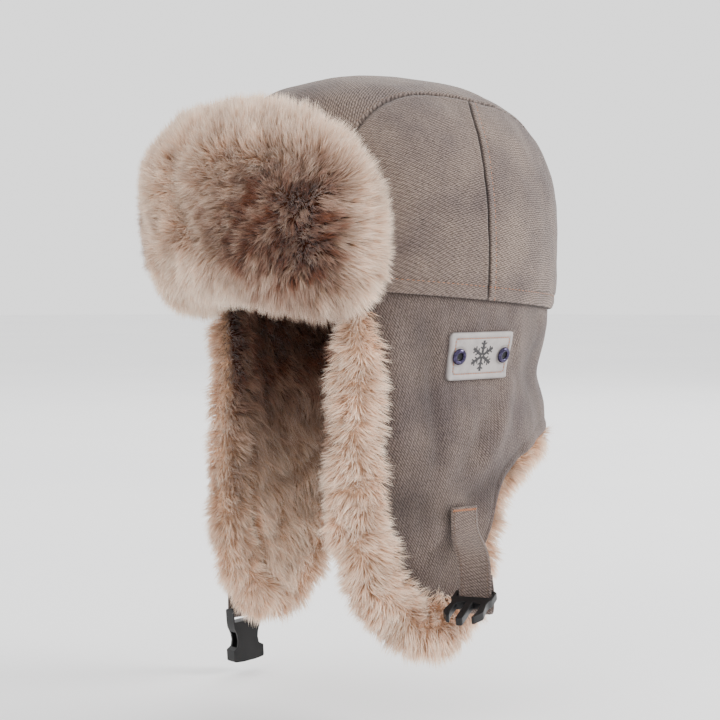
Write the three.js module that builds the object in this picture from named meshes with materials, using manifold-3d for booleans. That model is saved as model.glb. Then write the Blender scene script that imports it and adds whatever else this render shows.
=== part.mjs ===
// A winter hat with a round twill crown, a folded-up fur forehead flap, two hanging
// ear flaps lined with deep fur, short chin straps with a side-release buckle, and a
// leather patch with two eyelets.
//
// Millimetres, +Z up. The origin is the middle of the head opening at the rim seam,
// the wearer faces -Y and the wearer's left is +X.

import * as THREE from 'three';
import { mergeVertices } from 'three/addons/utils/BufferGeometryUtils.js';
import Module from 'manifold-3d';

const wasm = await Module();
wasm.setup();

// Driving dimensions
const GAP = 0.3;
const CLOTH = 2;

// How far the bodies reach that only cut others
const FAR = 300;

const HEAD = { halfWidth: 90, halfLength: 106, squareness: 2.2 };

// The rim seam drops a little from the forehead to the nape
const RIM = { middleZ: 3, slope: -0.08 };

const CROWN = {
  heightAtFront: 140,
  heightAtBack: 130,
  boxiness: 3.3,
  bulge: 0.045,
  columns: 36,
};

// Edge of the crown's middle strip: how far back, and how far out
const STRIP_EDGE = [
  { y: -120, x: 57 },
  { y: -75, x: 59 },
  { y: -48, x: 60 },
  { y: -15, x: 63 },
  { y: 10, x: 66 },
  { y: 40, x: 62 },
  { y: 75, x: 58 },
  { y: 120, x: 55 },
];

// Seam up each side of the crown: how high, and how far back
const SIDE_SEAM = [
  { z: -20, y: -1 },
  { z: 0, y: -1.2 },
  { z: 57, y: -3.9 },
  { z: 90, y: -2.4 },
  { z: 110, y: 0.5 },
  { z: 122, y: 6 },
  { z: 140, y: 16 },
];

const SKIRT = {
  tuck: 6,
  tuckGap: 0.8,
  frontEdgeY: -75,
  waistZ: -43,
  waistHeight: 19,
  waistDepth: 7,
  columns: 34,
  rows: 6,
};

// Lower edge of the skirt, the same on both sides, from the front edge to the nape
const LOWER_EDGE = [
  { y: -75, z: -126 },
  { y: -64, z: -160 },
  { y: -50, z: -176 },
  { y: -34, z: -181 },
  { y: -17, z: -173 },
  { y: 0, z: -143 },
  { y: 9, z: -119 },
  { y: 19, z: -104 },
  { y: 36, z: -92 },
  { y: 60, z: -82 },
  { y: 106, z: -76 },
];

// Soft folds of each side of the skirt: a line between two points, pushed out or in
const SKIRT_FOLDS = [
  { fromY: 34, fromZ: -93, toY: -7, toZ: -112, width: 9, push: -3.2 },
  { fromY: -60, fromZ: -116, toY: -26, toZ: -121, width: 9, push: -2.6 },
  { fromY: -60, fromZ: -18, toY: -56, toZ: -75, width: 10, push: 2.5 },
  { fromY: 52, fromZ: -12, toY: 60, toZ: -70, width: 13, push: -2.2 },
];

const FOREHEAD = {
  halfArc: 80,
  bottomAtMiddle: -4,
  bottomAtEnds: -17,
  top: 106,
  endDrop: 66,
  endRise: 32,
  lean: 5,
  leanFrom: 50,
  columns: 14,
  rows: 4,
};

const FOREHEAD_FUR = {
  reachSides: 8,
  reachUp: 8,
  reachDown: 1,
  edgeDepth: 14,
  depth: 31,
  columns: 20,
  rows: 7,
  lockOut: 6,
  lockDown: 4,
};

// Half sizes of the fur roll round the edge of a flap, against the distance along it
// and how far its middle lies out of the cloth
const EAR_ROLL = [
  { along: 0, across: 8, thick: 7, out: 0 },
  { along: 22, across: 14, thick: 12, out: 0 },
  { along: 110, across: 17, thick: 12, out: 0 },
  { along: 190, across: 18, thick: 12, out: 0 },
  { along: 225, across: 17, thick: 11, out: -5 },
  { along: 260, across: 14, thick: 10, out: -9 },
  { along: 330, across: 14, thick: 10, out: -5 },
  { along: 400, across: 14, thick: 10, out: -4 },
];
const NECK_ROLL = [
  { along: 0, across: 14, thick: 10, out: -4 },
  { along: 1000, across: 14, thick: 10, out: -4 },
];

const LINING = {
  topDrop: 3,
  pastEdge: 3,
  depthAtRim: 5,
  depthBelow: 15,
  fullDepthZ: -70,
  splitY: 32,
  rollSpacing: 17,
  neckSpacing: 26,
  rollSides: 6,
  rollShift: 5,
  lockOut: 6,
  lockDown: 4,
};

const STRAP = { width: 19, thick: 1.6, barGap: 0.9, sewnTopZ: -117, sewnBottomZ: -126, sewnGap: 0.9 };

const LEFT_STRAP = { sewnY: -17, x: 105, y: -24, barZ: -165, turn: 60, loopBelow: 7 };
const RIGHT_STRAP = { sewnY: -36, x: -108, y: -33, barZ: -203, turn: 0, loopBelow: 1.4 };

const BUCKLE = {
  width: 24,
  slotWidth: 20,
  bar: 3,
  slot: 6,
  plugThick: 4.4,
  plugTilt: 14,
  plugBody: 14,
  plugReach: 37,
  socketThick: 8.6,
  socketLength: 36,
  socketTilt: 4,
  mouthWidth: 18,
  mouthThick: 5,
  mouthDepth: 20,
};

const PATCH = { width: 51, height: 28, thick: 2.4, middleY: -2, middleZ: -30, corner: 3 };
const EYELET = { outer: 4.8, hole: 2.1, high: 1.3, inset: 7 };

// Small tools

const vec = (x, y, z) => new THREE.Vector3(x, y, z);
const clamp01 = (t) => Math.min(1, Math.max(0, t));
const smooth = (t) => clamp01(t) ** 2 * (3 - 2 * clamp01(t));
const rimHeight = (y) => RIM.middleZ + RIM.slope * y;
const signedPower = (base, power) => Math.sign(base) * Math.abs(base) ** power;

// A repeatable spread of values from 0 to 1 for the lengths of the fur locks
function scatter(i, j) {
  const wave = Math.sin(i * 12.9898 + j * 78.233) * 43758.5453;
  return wave - Math.floor(wave);
}

// A smooth curve through the rows of a table, read at one key
function curveAt(rows, key, value, at) {
  const last = rows.length - 1;
  if (at <= rows[0][key]) return rows[0][value];
  if (at >= rows[last][key]) return rows[last][value];
  const i = rows.findIndex((row) => row[key] > at) - 1;
  const slope = (k) => {
    const a = rows[Math.max(0, k - 1)];
    const b = rows[Math.min(last, k + 1)];
    return (b[value] - a[value]) / (b[key] - a[key]);
  };
  const span = rows[i + 1][key] - rows[i][key];
  const t = (at - rows[i][key]) / span;
  const bend = t * (1 - t) * span;
  const straight = rows[i][value] * (1 - t) * (1 - t) * (1 + 2 * t)
    + rows[i + 1][value] * t * t * (3 - 2 * t);
  return straight + bend * ((1 - t) * slope(i) - t * slope(i + 1));
}

// Collects faces and turns them into one indexed geometry
class Faces {
  constructor() {
    this.points = [];
  }

  triangle(a, b, c) {
    for (const p of [a, b, c]) this.points.push(p.x, p.y, p.z);
  }

  quad(a, b, c, d) {
    this.triangle(a, b, c);
    this.triangle(a, c, d);
  }

  // A lock of fur on a four-sided cell: four faces that rise to one tip
  lock(a, b, c, d, tip) {
    this.triangle(a, b, tip);
    this.triangle(b, c, tip);
    this.triangle(c, d, tip);
    this.triangle(d, a, tip);
  }

  cell(a, b, c, d, tip) {
    if (tip) this.lock(a, b, c, d, tip);
    else this.quad(a, b, c, d);
  }

  geometry() {
    const loose = new THREE.BufferGeometry();
    loose.setAttribute('position', new THREE.Float32BufferAttribute(this.points, 3));
    return withoutFlatFaces(mergeVertices(loose, 1e-3));
  }
}

function withoutFlatFaces(geometry) {
  const index = geometry.getIndex().array;
  const kept = [];
  for (let i = 0; i < index.length; i += 3) {
    const [a, b, c] = [index[i], index[i + 1], index[i + 2]];
    if (a !== b && b !== c && c !== a) kept.push(a, b, c);
  }
  geometry.setIndex(kept);
  return geometry;
}

// A body between two grids of points. closed joins the last column to the first.
// frontTip and backTip give the tip of the lock on a cell, or nothing.
function gridBody({ columns, rows, closed, front, back, frontTip, backTip }) {
  const faces = new Faces();
  const column = (i) => (closed ? i % columns : i);
  const grid = (pointAt) => {
    const table = [];
    for (let i = 0; i <= columns; i += 1) {
      table.push([]);
      for (let j = 0; j <= rows; j += 1) table[i].push(pointAt(column(i), j));
    }
    return table;
  };
  const f = grid(front);
  const b = grid(back);
  for (let i = 0; i < columns; i += 1) {
    for (let j = 0; j < rows; j += 1) {
      const outer = [f[i][j], f[i + 1][j], f[i + 1][j + 1], f[i][j + 1]];
      const inner = [b[i][j], b[i][j + 1], b[i + 1][j + 1], b[i + 1][j]];
      faces.cell(...outer, frontTip?.(i, j, outer));
      faces.cell(...inner, backTip?.(i, j, inner));
    }
    faces.quad(f[i + 1][0], f[i][0], b[i][0], b[i + 1][0]);
    faces.quad(f[i][rows], f[i + 1][rows], b[i + 1][rows], b[i][rows]);
  }
  if (!closed) {
    for (let j = 0; j < rows; j += 1) {
      faces.quad(f[0][j], f[0][j + 1], b[0][j + 1], b[0][j]);
      const end = [f[columns][j + 1], f[columns][j], b[columns][j], b[columns][j + 1]];
      faces.quad(...end);
    }
  }
  return faces.geometry();
}

function middle(corners) {
  const sum = corners.reduce((total, p) => total.add(p), vec(0, 0, 0));
  return sum.divideScalar(corners.length);
}

function cellNormal([a, b, c, d]) {
  const across = c.clone().sub(a);
  const up = d.clone().sub(b);
  return across.cross(up).normalize();
}

// The tip of a lock that points out of its cell and hangs down a little
function lockTip(i, j, corners, out, down) {
  const length = 0.55 + 0.9 * scatter(i, j);
  return middle(corners)
    .addScaledVector(cellNormal(corners), out * length)
    .add(vec(0, 0, -down * length));
}

function toManifold(geometry) {
  const bare = new THREE.BufferGeometry();
  bare.setAttribute('position', geometry.getAttribute('position').clone());
  if (geometry.getIndex()) bare.setIndex(geometry.getIndex().clone());
  const merged = withoutFlatFaces(mergeVertices(bare, 1e-3));
  return new wasm.Manifold(new wasm.Mesh({
    numProp: 3,
    vertProperties: new Float32Array(merged.getAttribute('position').array),
    triVerts: new Uint32Array(merged.getIndex().array),
  }));
}

function toGeometry(manifold) {
  const { numProp, vertProperties, triVerts } = manifold.getMesh();
  const points = new Float32Array((vertProperties.length / numProp) * 3);
  for (let i = 0; i < points.length / 3; i += 1) {
    for (let k = 0; k < 3; k += 1) points[3 * i + k] = vertProperties[numProp * i + k];
  }
  const geometry = new THREE.BufferGeometry();
  geometry.setAttribute('position', new THREE.BufferAttribute(points, 3));
  geometry.setIndex([...triVerts]);
  return geometry;
}

function boxBetween(low, high) {
  const size = high.clone().sub(low);
  const centre = high.clone().add(low).multiplyScalar(0.5);
  const box = new THREE.BoxGeometry(size.x, size.y, size.z);
  return toManifold(box.translate(centre.x, centre.y, centre.z));
}

function mirrored(geometry) {
  const copy = geometry.clone().scale(-1, 1, 1);
  const index = copy.getIndex().array;
  for (let i = 0; i < index.length; i += 3) {
    [index[i + 1], index[i + 2]] = [index[i + 2], index[i + 1]];
  }
  return copy;
}

// Plan of the hat: a rounded oval, with its outward direction

function planPoint(angle) {
  const power = 2 / HEAD.squareness;
  return vec(
    HEAD.halfWidth * signedPower(Math.cos(angle), power),
    HEAD.halfLength * signedPower(Math.sin(angle), power),
    0,
  );
}

function planNormal(angle) {
  const power = 2 - 2 / HEAD.squareness;
  return vec(
    signedPower(Math.cos(angle), power) / HEAD.halfWidth,
    signedPower(Math.sin(angle), power) / HEAD.halfLength,
    0,
  ).normalize();
}

const FRONT = -Math.PI / 2;
const BACK = Math.PI / 2;

function angleAtY(y) {
  return Math.asin(signedPower(y / HEAD.halfLength, HEAD.squareness / 2));
}

// Angles at even steps along the plan between two angles
function evenAngles(from, to, steps) {
  const fine = 600;
  const lengths = [0];
  let previous = planPoint(from);
  for (let i = 1; i <= fine; i += 1) {
    const next = planPoint(from + ((to - from) * i) / fine);
    lengths.push(lengths[i - 1] + next.distanceTo(previous));
    previous = next;
  }
  const angles = [];
  for (let k = 0; k <= steps; k += 1) {
    const want = (lengths[fine] * k) / steps;
    let i = lengths.findIndex((length) => length >= want);
    i = Math.max(1, i);
    const share = (want - lengths[i - 1]) / (lengths[i] - lengths[i - 1]);
    angles.push(from + ((to - from) * (i - 1 + share)) / fine);
  }
  return angles;
}

// Crown

function crownHeight(y) {
  const backness = (y / HEAD.halfLength + 1) / 2;
  return CROWN.heightAtFront + (CROWN.heightAtBack - CROWN.heightAtFront) * backness;
}

// Share of the plan's size at a share of the crown's height
function crownSpread(rise) {
  const dome = (1 - clamp01(rise) ** CROWN.boxiness) ** (1 / CROWN.boxiness);
  return dome * (1 + CROWN.bulge * Math.sin(Math.PI * clamp01(rise)));
}

function crownPoint(angle, slope, inset) {
  const rise = Math.sin(slope) ** (2 / CROWN.boxiness);
  const plan = planPoint(angle).addScaledVector(planNormal(angle), -inset);
  const point = plan.multiplyScalar(crownSpread(rise));
  const rim = rimHeight(planPoint(angle).y);
  point.z = rim + (crownHeight(point.y) - inset - rim) * rise;
  return point;
}

function crownShell() {
  const angles = evenAngles(FRONT, FRONT + 2 * Math.PI, CROWN.columns);
  const slopes = [0, 4, 14, 26, 38, 50, 63, 77, 90].map(THREE.MathUtils.degToRad);
  return gridBody({
    columns: CROWN.columns,
    rows: slopes.length - 1,
    closed: true,
    front: (i, j) => crownPoint(angles[i], slopes[j], 0),
    back: (i, j) => crownPoint(angles[i], slopes[j], CLOTH),
  });
}

// A tall prism with a flat outline, given as pairs of numbers
function prism(outline, turn) {
  const corners = outline.map(([u, v]) => new THREE.Vector2(u, v));
  if (THREE.ShapeUtils.isClockWise(corners)) corners.reverse();
  const shape = new THREE.Shape(corners);
  const body = new THREE.ExtrudeGeometry(shape, { depth: 2 * FAR, bevelEnabled: false });
  body.translate(0, 0, -FAR);
  return toManifold(turn ? body.applyMatrix4(turn) : body);
}

// All that lies nearer than the middle strip's edge on both sides, or a little more
function stripRoom(grow) {
  const right = STRIP_EDGE.map(({ y, x }) => [x + grow, y]);
  const left = [...right].reverse().map(([x, y]) => [-x, y]);
  return prism([...right, ...left]);
}

// All that lies behind the seams up the sides, moved back by a shift
function behindSideSeam(shift) {
  const seam = SIDE_SEAM.map(({ y, z }) => [y + shift, z]);
  const turned = new THREE.Matrix4().makeBasis(vec(0, 1, 0), vec(0, 0, 1), vec(1, 0, 0));
  const lowest = seam[0][1];
  const highest = seam[seam.length - 1][1];
  return prism([[FAR, lowest], ...seam, [FAR, highest]], turned);
}

function crownPanels() {
  const shell = toManifold(crownShell());
  const leftHalf = boxBetween(vec(0, -FAR, -FAR), vec(FAR, FAR, FAR));
  const sidePanel = shell.intersect(leftHalf).subtract(stripRoom(GAP));
  return {
    strip: toGeometry(shell.intersect(stripRoom(0))),
    front: toGeometry(sidePanel.subtract(behindSideSeam(-GAP / 2))),
    rear: toGeometry(sidePanel.intersect(behindSideSeam(GAP / 2))),
  };
}

// Skirt with the two ear flaps

function foldPush(y, z) {
  let push = 0;
  for (const fold of SKIRT_FOLDS) {
    const alongY = fold.toY - fold.fromY;
    const alongZ = fold.toZ - fold.fromZ;
    const length2 = alongY ** 2 + alongZ ** 2;
    const t = clamp01(((y - fold.fromY) * alongY + (z - fold.fromZ) * alongZ) / length2);
    const away = Math.hypot(y - fold.fromY - t * alongY, z - fold.fromZ - t * alongZ);
    push += fold.push * Math.exp(-((away / fold.width) ** 2));
  }
  return push;
}

// How far the skirt stands out of the plain plan at a height
function skirtPush(angle, z) {
  const plan = planPoint(angle);
  const backness = smooth((plan.y + 60) / 70);
  const waist = Math.exp(-(((z - SKIRT.waistZ) / SKIRT.waistHeight) ** 2));
  const tipTurn = 5 * smooth((-110 - z) / 80);
  const below = smooth((rimHeight(plan.y) - z) / 8);
  const folds = foldPush(plan.y, z);
  return below * folds - SKIRT.waistDepth * waist * (0.35 + 0.65 * backness) - tipTurn;
}

function skirtPoint(angle, z, out) {
  const push = skirtPush(angle, z) - CLOTH - SKIRT.tuckGap + out;
  const point = planPoint(angle).addScaledVector(planNormal(angle), push);
  point.z = z;
  return point;
}

function lowerEdge(angle) {
  return curveAt(LOWER_EDGE, 'y', 'z', planPoint(angle).y);
}

const FRONT_EDGE = angleAtY(SKIRT.frontEdgeY);

const SKIRT_ANGLES = evenAngles(FRONT_EDGE, Math.PI - FRONT_EDGE, SKIRT.columns);

// Height of a row of the skirt's grid; topDrop and lowDrop move its two borders
function skirtRow(angle, j, topDrop, lowDrop) {
  const low = lowerEdge(angle);
  const high = rimHeight(planPoint(angle).y) + SKIRT.tuck;
  const z = low + (high - low) * (j / SKIRT.rows);
  if (j === 0) return z - lowDrop;
  return j === SKIRT.rows ? z - topDrop : z;
}

// The skirt's cloth; grown, it is the room that the cloth takes in the fur
function skirtShell(grow) {
  const growAngle = grow / HEAD.halfWidth;
  const angles = [...SKIRT_ANGLES];
  angles[0] -= growAngle;
  angles[SKIRT.columns] += growAngle;
  const height = (i, j) => skirtRow(angles[i], j, -grow, grow);
  return gridBody({
    columns: SKIRT.columns,
    rows: SKIRT.rows,
    closed: false,
    front: (i, j) => skirtPoint(angles[i], height(i, j), grow),
    back: (i, j) => skirtPoint(angles[i], height(i, j), -CLOTH - grow),
  });
}

// Forehead flap

const FOREHEAD_ANGLES = evenAngles(FRONT, FRONT + Math.PI / 2, 90);
const ARC_STEP = planPoint(FRONT).distanceTo(planPoint(FOREHEAD_ANGLES[1]));

// Angle at a distance along the plan from the middle of the front, left positive
function angleAtArc(arc) {
  const place = Math.abs(arc) / ARC_STEP;
  const i = Math.min(FOREHEAD_ANGLES.length - 2, Math.floor(place));
  const share = place - i;
  const angle = FOREHEAD_ANGLES[i] * (1 - share) + FOREHEAD_ANGLES[i + 1] * share;
  return FRONT + Math.sign(arc) * (angle - FRONT);
}

// A point of the flap: its back face lies on the crown low down and leans off it above
function foreheadPoint(arc, z, out) {
  const angle = angleAtArc(arc);
  const lean = FOREHEAD.lean * smooth((z - FOREHEAD.leanFrom) / FOREHEAD.leanFrom);
  const rim = rimHeight(planPoint(angle).y);
  const rise = (z - rim) / (crownHeight(planPoint(angle).y) - rim);
  const point = planPoint(angle).multiplyScalar(crownSpread(rise));
  point.addScaledVector(planNormal(angle), 2 * GAP + lean + out);
  point.z = z;
  return point;
}

// Lower and upper edge of the flap at a share of its half width
function foreheadSpan(share) {
  const across = Math.abs(share);
  const rim = rimHeight(planPoint(angleAtArc(share * FOREHEAD.halfArc)).y);
  const bottom = FOREHEAD.bottomAtMiddle
    + (FOREHEAD.bottomAtEnds - FOREHEAD.bottomAtMiddle) * smooth(across);
  const rise = 1 - (1 - across ** 5) ** 0.45;
  const drop = 1 - (1 - across ** 2.6) ** 0.45;
  return {
    low: rim + bottom + FOREHEAD.endRise * rise,
    high: FOREHEAD.top - FOREHEAD.endDrop * drop,
  };
}

// The flap's cloth; grown, it is the room that the cloth takes in the fur
function foreheadBacking(grow) {
  const share = (i) => (2 * i) / FOREHEAD.columns - 1;
  const height = (i, j) => {
    const { low, high } = foreheadSpan(share(i));
    return low - grow + ((high - low + 2 * grow) * j) / FOREHEAD.rows;
  };
  const halfArc = FOREHEAD.halfArc + grow;
  const at = (i, j, out) => foreheadPoint(share(i) * halfArc, height(i, j), out);
  return gridBody({
    columns: FOREHEAD.columns,
    rows: FOREHEAD.rows,
    closed: false,
    front: (i, j) => at(i, j, CLOTH + grow),
    back: (i, j) => at(i, j, -grow),
  });
}

// Depth of the fur at shares of its half width and half height
function furDepth(across, up) {
  const sides = Math.sqrt(1 - Math.abs(across) ** 5);
  const ends = Math.sqrt(1 - Math.abs(up) ** 3.4);
  return FOREHEAD_FUR.edgeDepth + FOREHEAD_FUR.depth * sides * ends;
}

// The fur on the forehead flap; grown and without locks it is the room it takes
function foreheadFur(grow) {
  const { columns, rows, lockOut, lockDown } = FOREHEAD_FUR;
  const { reachSides, reachUp, reachDown } = FOREHEAD_FUR;
  const spread = (t) => t * (1.3 - 0.3 * t * t);
  const across = (i) => spread((2 * i) / columns - 1);
  const up = (j) => spread((2 * j) / rows - 1);
  const at = (i, j, out) => {
    const span = foreheadSpan(across(i));
    const low = span.low - reachDown - grow;
    const high = span.high + reachUp + grow;
    const z = (high + low) / 2 + ((high - low) / 2) * up(j);
    const arc = across(i) * (FOREHEAD.halfArc + reachSides + grow);
    return foreheadPoint(arc, z, CLOTH / 2 + out);
  };
  const tip = (i, j, corners) => lockTip(i, j, corners, lockOut, lockDown);
  return gridBody({
    columns,
    rows,
    closed: false,
    front: (i, j) => at(i, j, furDepth(across(i), up(j)) + grow),
    back: (i, j) => at(i, j, -Math.min(grow, GAP)),
    frontTip: grow ? undefined : tip,
  });
}

// Fur of the ear flaps and the nape

function liningDepth(z) {
  const share = smooth(z / LINING.fullDepthZ);
  return LINING.depthAtRim + (LINING.depthBelow - LINING.depthAtRim) * share;
}

// The lining on the grid of the skirt's cloth, between two of its columns
function liningSlab(from, to, locks) {
  const angles = SKIRT_ANGLES.slice(from, to + 1);
  const past = LINING.pastEdge / HEAD.halfWidth;
  if (from === 0) angles[0] -= past;
  if (to === SKIRT.columns) angles[to - from] += past;
  const angle = (i) => angles[i];
  const height = (i, j) => skirtRow(angle(i), j, LINING.topDrop, LINING.pastEdge);
  const back = (i, j) => {
    const z = height(i, j);
    return skirtPoint(angle(i), z, -CLOTH - GAP - liningDepth(z));
  };
  const tip = (i, j, corners) => lockTip(i, j, corners, LINING.lockOut, LINING.lockDown);
  return gridBody({
    columns: to - from,
    rows: SKIRT.rows,
    closed: false,
    front: (i, j) => skirtPoint(angle(i), height(i, j), -CLOTH - 1.5 * GAP),
    back,
    backTip: locks ? tip : undefined,
  });
}

// The route of a roll: down the front edge of a flap where it has one, then along
// the lower edge. Each place has an angle and a height on the skirt.
function edgeRoute(from, to, downFrontEdge) {
  const fine = 240;
  const route = [];
  if (downFrontEdge) {
    const low = lowerEdge(from);
    for (let z = rimHeight(planPoint(from).y) - 12; z > low; z -= 2) route.push({ angle: from, z });
  }
  for (let i = 0; i <= fine; i += 1) {
    const angle = from + ((to - from) * i) / fine;
    route.push({ angle, z: lowerEdge(angle) });
  }
  return route;
}

function evenRoute(route, spacing) {
  const points = route.map(({ angle, z }) => skirtPoint(angle, z, -CLOTH / 2));
  const lengths = [0];
  for (let i = 1; i < points.length; i += 1) {
    lengths.push(lengths[i - 1] + points[i].distanceTo(points[i - 1]));
  }
  const total = lengths[lengths.length - 1];
  const steps = Math.round(total / spacing);
  const stations = [];
  for (let k = 0; k <= steps; k += 1) {
    const along = (total * k) / steps;
    const i = Math.max(1, lengths.findIndex((length) => length >= along - 1e-6));
    const share = (along - lengths[i - 1]) / (lengths[i] - lengths[i - 1]);
    const angle = route[i - 1].angle + (route[i].angle - route[i - 1].angle) * share;
    stations.push({ along, angle, point: points[i - 1].clone().lerp(points[i], share) });
  }
  return stations;
}

// A roll of fur round an edge, with a lock on each of its cells
function edgeRoll(route, sizes, spacing) {
  const stations = evenRoute(route, spacing);
  const last = stations.length - 1;
  const sides = LINING.rollSides;
  const ring = stations.map(({ along, angle, point }, i) => {
    const before = stations[Math.max(0, i - 1)].point;
    const after = stations[Math.min(last, i + 1)].point;
    const tangent = after.clone().sub(before).normalize();
    const normal = planNormal(angle);
    const away = tangent.clone().cross(normal).normalize();
    const across = curveAt(sizes, 'along', 'across', along);
    const thick = curveAt(sizes, 'along', 'thick', along);
    const out = curveAt(sizes, 'along', 'out', along);
    return Array.from({ length: sides }, (unused, j) => {
      const turn = (2 * Math.PI * (j + 0.5)) / sides;
      return point.clone()
        .addScaledVector(away, LINING.rollShift + across * Math.cos(turn))
        .addScaledVector(normal, out + thick * Math.sin(turn));
    });
  });
  const faces = new Faces();
  const at = (i, j) => ring[i][j % sides];
  for (let i = 0; i < last; i += 1) {
    for (let j = 0; j < sides; j += 1) {
      const corners = [at(i, j), at(i + 1, j), at(i + 1, j + 1), at(i, j + 1)];
      faces.lock(...corners, lockTip(i, j, corners, LINING.lockOut, LINING.lockDown));
    }
  }
  for (const i of [0, last]) {
    const hub = middle(ring[i]);
    for (let j = 0; j < sides; j += 1) {
      if (i === 0) faces.triangle(hub, at(i, j), at(i, j + 1));
      else faces.triangle(hub, at(i, j + 1), at(i, j));
    }
  }
  return faces.geometry();
}

function edgeFurs() {
  const split = LINING.splitY;
  const past = 12;
  const clothRoom = toManifold(skirtShell(GAP));
  const foreheadRoom = toManifold(foreheadFur(FOREHEAD_FUR.lockOut * 1.5))
    .add(toManifold(foreheadBacking(GAP)));
  const ahead = boxBetween(vec(-FAR, -FAR, -FAR), vec(FAR, split - GAP / 2, FAR));
  const behind = boxBetween(vec(-FAR, split + GAP / 2, -FAR), vec(FAR, FAR, FAR));
  const earEnd = angleAtY(split + past);
  const neckStart = angleAtY(split - past);
  const earColumns = SKIRT_ANGLES.findIndex((angle) => angle > earEnd);
  const neckColumn = SKIRT_ANGLES.findIndex((angle) => angle > neckStart) - 1;
  const earRoute = edgeRoute(FRONT_EDGE, earEnd, true);
  const neckRoute = edgeRoute(neckStart, Math.PI - neckStart, false);

  const earRoll = edgeRoll(earRoute, EAR_ROLL, LINING.rollSpacing);
  const earFur = (roll, from, to) => toManifold(roll)
    .subtract(foreheadRoom)
    .add(toManifold(liningSlab(from, to, true)))
    .subtract(clothRoom)
    .intersect(ahead);
  const left = earFur(earRoll, 0, earColumns);
  const right = earFur(mirrored(earRoll), SKIRT.columns - earColumns, SKIRT.columns);
  const neck = toManifold(edgeRoll(neckRoute, NECK_ROLL, LINING.neckSpacing))
    .add(toManifold(liningSlab(neckColumn, SKIRT.columns - neckColumn, false)))
    .subtract(clothRoom)
    .intersect(behind);
  return {
    left: largestPiece(left),
    right: largestPiece(right),
    neck: largestPiece(neck),
  };
}

// A cut can leave crumbs and closed pockets; only the largest shell is the fur.
// Joining near vertices can free one more, so it is done more than once.
function largestPiece(manifold) {
  let geometry = toGeometry(manifold);
  for (let round = 0; round < 3; round += 1) {
    const pieces = toManifold(geometry).decompose();
    pieces.sort((a, b) => b.volume() - a.volume());
    geometry = toGeometry(pieces[0]);
  }
  return geometry;
}

// Straps and buckles

// A flat strap along a route of places, each with the direction of its width
function ribbon(places, width, thick) {
  const last = places.length - 1;
  const sections = places.map(({ point, side }, i) => {
    const before = places[Math.max(0, i - 1)].point;
    const after = places[Math.min(last, i + 1)].point;
    const tangent = after.clone().sub(before).normalize();
    const across = side.clone().normalize();
    const out = across.clone().cross(tangent).normalize();
    const corner = (w, t) => point.clone()
      .addScaledVector(across, (w * width) / 2)
      .addScaledVector(out, (t * thick) / 2);
    return [corner(-1, -1), corner(1, -1), corner(1, 1), corner(-1, 1)];
  });
  const faces = new Faces();
  for (let i = 0; i < last; i += 1) {
    for (let j = 0; j < 4; j += 1) {
      const k = (j + 1) % 4;
      faces.quad(sections[i][j], sections[i + 1][j], sections[i + 1][k], sections[i][k]);
    }
  }
  faces.quad(...sections[0]);
  faces.quad(...[...sections[last]].reverse());
  return faces.geometry();
}

// The strap's loop round the bar of its buckle, in steps out of and down the strap.
// It comes down outside the bar, turns under it and ends sewn to itself above.
function loopRound(below) {
  const half = BUCKLE.bar / 2 + STRAP.barGap + STRAP.thick / 2;
  return [
    { out: half, down: -6 },
    { out: half, down: 0 },
    { out: half, down: below },
    { out: half * 0.7, down: below + 2.4 },
    { out: 0, down: below + 3.4 },
    { out: -half * 0.7, down: below + 2.4 },
    { out: -half, down: below },
    { out: -half, down: 0 },
    { out: -half * 0.8, down: -4 },
    { out: -0.1, down: -8 },
    { out: 0.6, down: -12 },
  ];
}

function strap(size, sideSign) {
  const sewnAngle = angleAtY(size.sewnY);
  const onSkirt = (z, out) => {
    const point = skirtPoint(sewnAngle, z, out);
    point.x *= sideSign;
    return point;
  };
  const lie = STRAP.sewnGap + STRAP.thick / 2;
  const bar = vec(size.x, size.y, size.barZ);
  const turn = THREE.MathUtils.degToRad(size.turn);
  const facing = planNormal(sewnAngle);
  const sideAtSkirt = vec(-facing.y * sideSign, facing.x, 0);
  const sideAtBar = vec(Math.sin(turn), Math.cos(turn), 0);
  const out = vec(Math.cos(turn), -Math.sin(turn), 0).multiplyScalar(sideSign);
  const start = onSkirt(STRAP.sewnBottomZ, lie);
  const loop = loopRound(size.loopBelow);
  const arrive = bar.clone().addScaledVector(out, loop[0].out).setZ(size.barZ + 10);
  const places = [{ point: onSkirt(STRAP.sewnTopZ, lie), side: sideAtSkirt }];
  const hang = new THREE.CubicBezierCurve3(
    start,
    start.clone().add(vec(0, 0, -12)),
    arrive.clone().add(vec(0, 0, 18)),
    arrive,
  );
  const steps = 8;
  for (let k = 0; k <= steps; k += 1) {
    const side = sideAtSkirt.clone().lerp(sideAtBar, smooth(k / steps));
    places.push({ point: hang.getPoint(k / steps), side });
  }
  for (const { out: away, down } of loop) {
    const point = bar.clone().addScaledVector(out, away).add(vec(0, 0, -down));
    places.push({ point, side: sideAtBar });
  }
  return ribbon(places, STRAP.width, STRAP.thick);
}

// Outline of one half of a buckle part, mirrored to the other half
function symmetricShape(half) {
  const right = half.map(([w, l]) => new THREE.Vector2(w, l));
  const left = [...half].reverse().map(([w, l]) => new THREE.Vector2(-w, l));
  const outline = [...right, ...left];
  if (THREE.ShapeUtils.isClockWise(outline)) outline.reverse();
  return new THREE.Shape(outline);
}

function extruded(shape, thick) {
  const body = new THREE.ExtrudeGeometry(shape, { depth: thick, bevelEnabled: false });
  return body.translate(0, 0, -thick / 2);
}

function slotHole(width, from, to) {
  const half = width / 2;
  return new THREE.Path([
    new THREE.Vector2(-half, from),
    new THREE.Vector2(-half, to),
    new THREE.Vector2(half, to),
    new THREE.Vector2(half, from),
  ]);
}

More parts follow.
